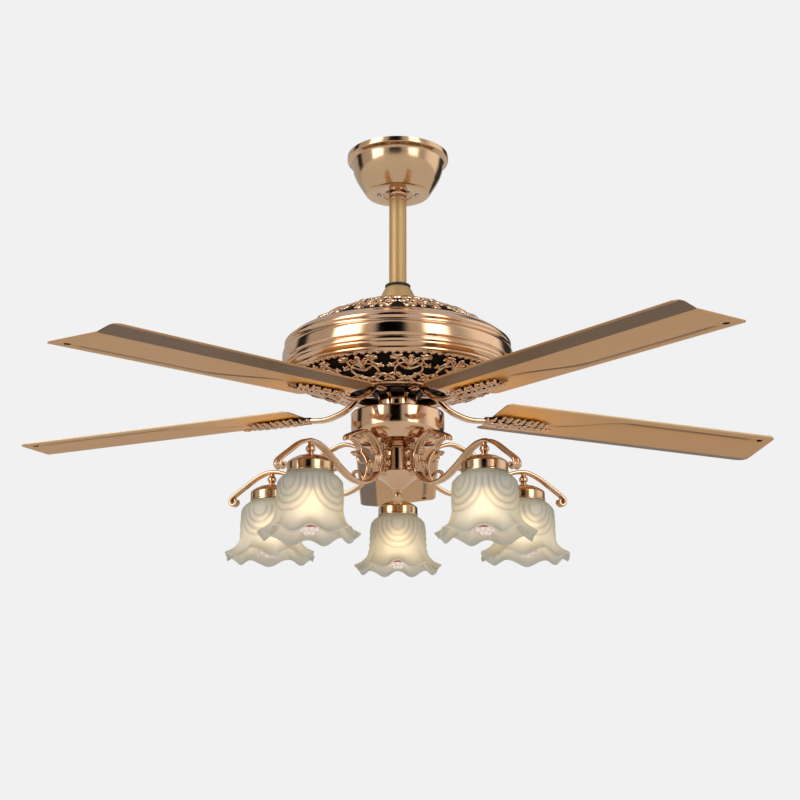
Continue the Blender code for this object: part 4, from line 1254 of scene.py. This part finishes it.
class FAN_OT_arms(bpy.types.Operator):
    """Makes the five beaded arms with their volutes, brackets and lamp studs"""

    bl_idname = "fan.arms"
    bl_label = "Lamp arms"

    def execute(self, context):
        bead = context.scene.fan_sizes.arm_bead
        route = smooth_route(ARM_BENDS, 6)
        web = flat_bar(route, ARM_WIDE - 2 * bead, bead * 0.9)
        edges = []
        for side in (-1, 1):
            edges += beside([[(p, bead) for p in route]], side * (ARM_WIDE / 2 - bead))
        rib = beside([[(p, bead * 0.62) for p in route]], 0)
        whole = joined(web, wires(edges, 2), wires(rib))
        stud = turned([
            (0, -0.5235), (0.0038, -0.5235), (0.0038, -0.5300), (0.0050, -0.5318),
            (0.0072, -0.5345, 0.0012), (0.0072, -0.5385, 0.0012), (0.0048, -0.5412),
            (0.0042, -0.5425), (0.0060, -0.5445, 0.0008), (0.0038, -0.5465), (0.0038, -0.5560),
            (0, -0.5560),
        ], False, 32)
        stud.transform(Matrix.Translation((LAMP_REACH, 0, 0)))
        bracket = []
        for point, heading, length, turn, width in (
            ((0.0275, -0.5050), 15, 0.026, 3.2, 0.0021), ((0.0275, -0.5310), -15, 0.026, -3.2, 0.0021),
            ((0.0275, -0.5180), 60, 0.017, -4.0, 0.0017), ((0.0275, -0.5180), -60, 0.017, 4.0, 0.0017),
        ):
            bracket.append(scroll(point, math.radians(heading), length, turn, width))
        for point, heading, length, width in (
            ((0.036, -0.5060), 70, 0.010, 0.0020), ((0.036, -0.5300), -70, 0.010, 0.0020),
            ((0.0275, -0.5180), 0, 0.024, 0.0024),
        ):
            bracket.append(lobe(point, math.radians(heading), length, 0.4, width))
        sides = []
        for side in (-1, 1):
            sides += beside(bracket, side * 0.0022)
        volute = [
            scroll((0.1270, -0.5020), math.radians(184), 0.052, 4.6, 0.0030),
            scroll((0.0560, -0.5440), math.radians(66), 0.032, -4.4, 0.0028),
            lobe((0.0570, -0.5180), math.radians(20), 0.017, 1.0, 0.0030),
        ]
        for side in (-1, 0, 1):
            sides += beside(volute, side * 0.0034)
        heads = [screw_head((0.0385, side * 0.0042, -0.5245), (0, side, 0), 0.0026) for side in (-1, 1)]
        whole = joined(whole, stud, wires(sides), *heads)
        at_stations("beaded_arm", whole, ["buffed_rose_gold_plate"], ["lamp_arm"])
        return {"FINISHED"}


# The pressed swags: their top, half the turn and the height of one unit of their rings, each ring's
# size in those units with how far it stands out, and the width of a ridge.
SWAG_TOP, SWAG_TURN, SWAG_DEEP = -0.588, 0.52, 0.030
SWAG_RINGS = ((0.45, 0.0012), (0.80, 0.0015), (1.15, 0.0016), (1.50, 0.0012))
SWAG_WIDTH = 0.06
# A radius between the glass's inner and outer faces at each height.
GLASS_MIDDLE = [
    (-0.6650, 0.0660), (-0.6560, 0.0600), (-0.6455, 0.0518), (-0.6330, 0.0478), (-0.6180, 0.0466),
    (-0.6000, 0.0460), (-0.5870, 0.0440), (-0.5800, 0.0400), (-0.5700, 0.0308), (-0.5500, 0.0308),
]


def swag_ridge(angle, height):
    """How far the pressed swags stand out of the glass at an angle round it and a height."""
    quarter = math.pi / 2
    off = (angle + quarter / 2) % quarter - quarter / 2
    ring = math.hypot(off / SWAG_TURN, (height - SWAG_TOP) / SWAG_DEEP)
    ridge = 0.0
    for at, tall in SWAG_RINGS:
        ridge += tall * math.exp(-(((ring - at) / SWAG_WIDTH) ** 2))
    return ridge * (clamped((-0.580 - height) / 0.006) * clamped((height + 0.652) / 0.014))


def shade_edit(rise):
    """A bell of glass with pressed swags and a ruffled rim, about its own axis."""
    outer = smooth_route([
        (0.0322, -0.5600), (0.0322, -0.5700), (0.0345, -0.5738), (0.0410, -0.5785), (0.0458, -0.5860),
        (0.0474, -0.6000), (0.0480, -0.6180), (0.0494, -0.6330), (0.0535, -0.6455), (0.0612, -0.6550),
        (0.0712, -0.6615),
    ], 9)
    inner = smooth_route([
        (0.0704, -0.6640), (0.0592, -0.6575), (0.0505, -0.6460), (0.0464, -0.6330), (0.0452, -0.6180),
        (0.0446, -0.6000), (0.0430, -0.5875), (0.0385, -0.5820), (0.0300, -0.5765), (0.0294, -0.5600),
    ], 2)
    edit = turned([(p.x, p.y) for p in outer + inner], True, 208)
    pressed = edit.verts.layers.float.new("pressed")
    for vert in edit.verts:
        angle = math.atan2(vert.co.y, vert.co.x)
        height = vert.co.z
        out = Vector((vert.co.x, vert.co.y, 0)).normalized()
        reach = math.hypot(vert.co.x, vert.co.y)
        low = max(0.0, (-0.628 - height) / 0.035)
        main = math.cos(8 * angle + 0.5 * math.sin(2 * angle))
        pinch = math.cos(16 * angle + 0.8)
        vert.co += out * low**1.3 * (0.0030 * main + 0.0010 * pinch)
        vert.co.z += rise * low**1.5 * (main * 0.86 + 0.14 * math.cos(4 * angle))
        ridge = swag_ridge(angle, height)
        vert[pressed] = ridge / 0.0016
        if reach > value_at(GLASS_MIDDLE, height):
            vert.co += out * ridge
    return closed(edit)


class FAN_OT_lamps(bpy.types.Operator):
    """Makes the lamp holders, ruffled glass shades and lit bulbs, and gives the sockets their finish"""

    bl_idname = "fan.lamps"
    bl_label = "Lamps"

    def execute(self, context):
        wide = HOLDER_RADIUS
        cap = turned([
            (0.0042, -0.5455), (0.0100, -0.5457), (0.0190, -0.5480), (0.0270, -0.5520),
            (wide - 0.0010, -0.5562, 0.0012), (wide, -0.5582, 0.0006), (wide, -0.5690, 0.0005),
            (wide + 0.0006, -0.5698, 0.0003), (wide + 0.0006, -0.5715, 0.0004),
            (wide - 0.0012, -0.5715), (wide - 0.0012, -0.5582), (0.0262, -0.5535), (0.0185, -0.5496),
            (0.0042, -0.5472),
        ], True, 72)
        at_stations("holder_cap", cap, ["brushed_satin_gold_plate"], ["shade_holder"], LAMP_REACH)
        glass = shade_edit(context.scene.fan_sizes.ruffle_rise)
        at_stations("ruffled_shade", glass, ["acid_frosted_glass"], ["shade"], LAMP_REACH)
        bulb = turned([
            (0, -0.5680), (0.0134, -0.5700, 0.0010), (0.0134, -0.5960), (0.0150, -0.6000),
            (0.0186, -0.6060), (0.0192, -0.6140), (0.0192, -0.6360), (0.0170, -0.6420),
            (0.0130, -0.6520), (0.0070, -0.6580), (0, -0.6590),
        ], False, 40)
        # Rings of small buds over the bulb's tip: how many, how far out, how high and how big.
        buds = []
        for count, reach, height, radius in (
            (11, 0.0150, -0.6440, 0.0047), (9, 0.0118, -0.6545, 0.0046), (5, 0.0052, -0.6590, 0.0042),
        ):
            bud = bmesh.new()
            place = Matrix.Translation((reach, 0, height))
            bmesh.ops.create_icosphere(bud, subdivisions=2, radius=radius, matrix=place)
            buds.append(copies(bud, [math.tau * (i + 0.5) / count for i in range(count)]))
        at_stations("opal_bulb", joined(bulb, *buds), ["lit_opal_bulb"], ["bulb"], LAMP_REACH)
        band = turned([
            (0.0150, -0.6490), (0.0192, -0.6494, 0.0006), (0.0188, -0.6524, 0.0006), (0.0150, -0.6528),
        ], True, 40)
        at_stations("bulb_band", band, ["red_enamel_beads"], [], LAMP_REACH)
        for number in range(1, COUNT + 1):
            NODES[f"lamp_socket_{number}"].material_slots[0].material = finish("moulded_white_nylon")
        return {"FINISHED"}


class FAN_OT_hidden(bpy.types.Operator):
    """Gives the bracket, the ball joint, the motor and the receiver their finishes"""

    bl_idname = "fan.hidden"
    bl_label = "Hidden parts"

    def execute(self, context):
        given = {
            "zinc_plated_steel": [
                "hanger_bracket", "canopy_screw_1", "canopy_screw_2", "ball_pin", "motor_yoke",
                "clevis_pin", "motor_shaft", "bearing_top", "bearing_bottom",
            ],
            "laminated_core_steel": ["stator", "rotor"],
            "moulded_black_rubber": ["hanger_ball", "receiver"],
            "moulded_white_nylon": ["ball_seat_ring"],
        }
        for name, nodes in given.items():
            for each in nodes:
                NODES[each].material_slots[0].material = finish(name)
        return {"FINISHED"}


# ---------------------------------------------------------------- panel and registration


STEPS = [
    FAN_OT_stage, FAN_OT_canopy, FAN_OT_downrod, FAN_OT_housing, FAN_OT_grille, FAN_OT_irons, FAN_OT_blades,
    FAN_OT_cup, FAN_OT_arms, FAN_OT_lamps, FAN_OT_hidden,
]


class FAN_PT_panel(bpy.types.Panel):
    """Lists the sizes, the colours and the steps"""

    bl_idname = "FAN_PT_panel"
    bl_label = "Ceiling fan"
    bl_space_type = "VIEW_3D"
    bl_region_type = "UI"
    bl_category = "Fan"

    def draw(self, context):
        layout = self.layout
        for group in (context.scene.fan_sizes, context.scene.fan_colours):
            box = layout.box()
            for name in group.__annotations__:
                box.prop(group, name)
        for step in STEPS:
            layout.operator(step.bl_idname)


def register():
    for each in (FanSizes, FanColours, *STEPS, FAN_PT_panel):
        bpy.utils.register_class(each)
    bpy.types.Scene.fan_sizes = bpy.props.PointerProperty(type=FanSizes)
    bpy.types.Scene.fan_colours = bpy.props.PointerProperty(type=FanColours)


def unregister():
    del bpy.types.Scene.fan_colours
    del bpy.types.Scene.fan_sizes
    for each in (FAN_PT_panel, *reversed(STEPS), FanColours, FanSizes):
        bpy.utils.unregister_class(each)


def main():
    """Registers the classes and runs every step."""
    register()
    for step in STEPS:
        getattr(bpy.ops.fan, step.bl_idname.split(".")[1])()
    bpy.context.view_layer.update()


if __name__ == "__main__":
    main()
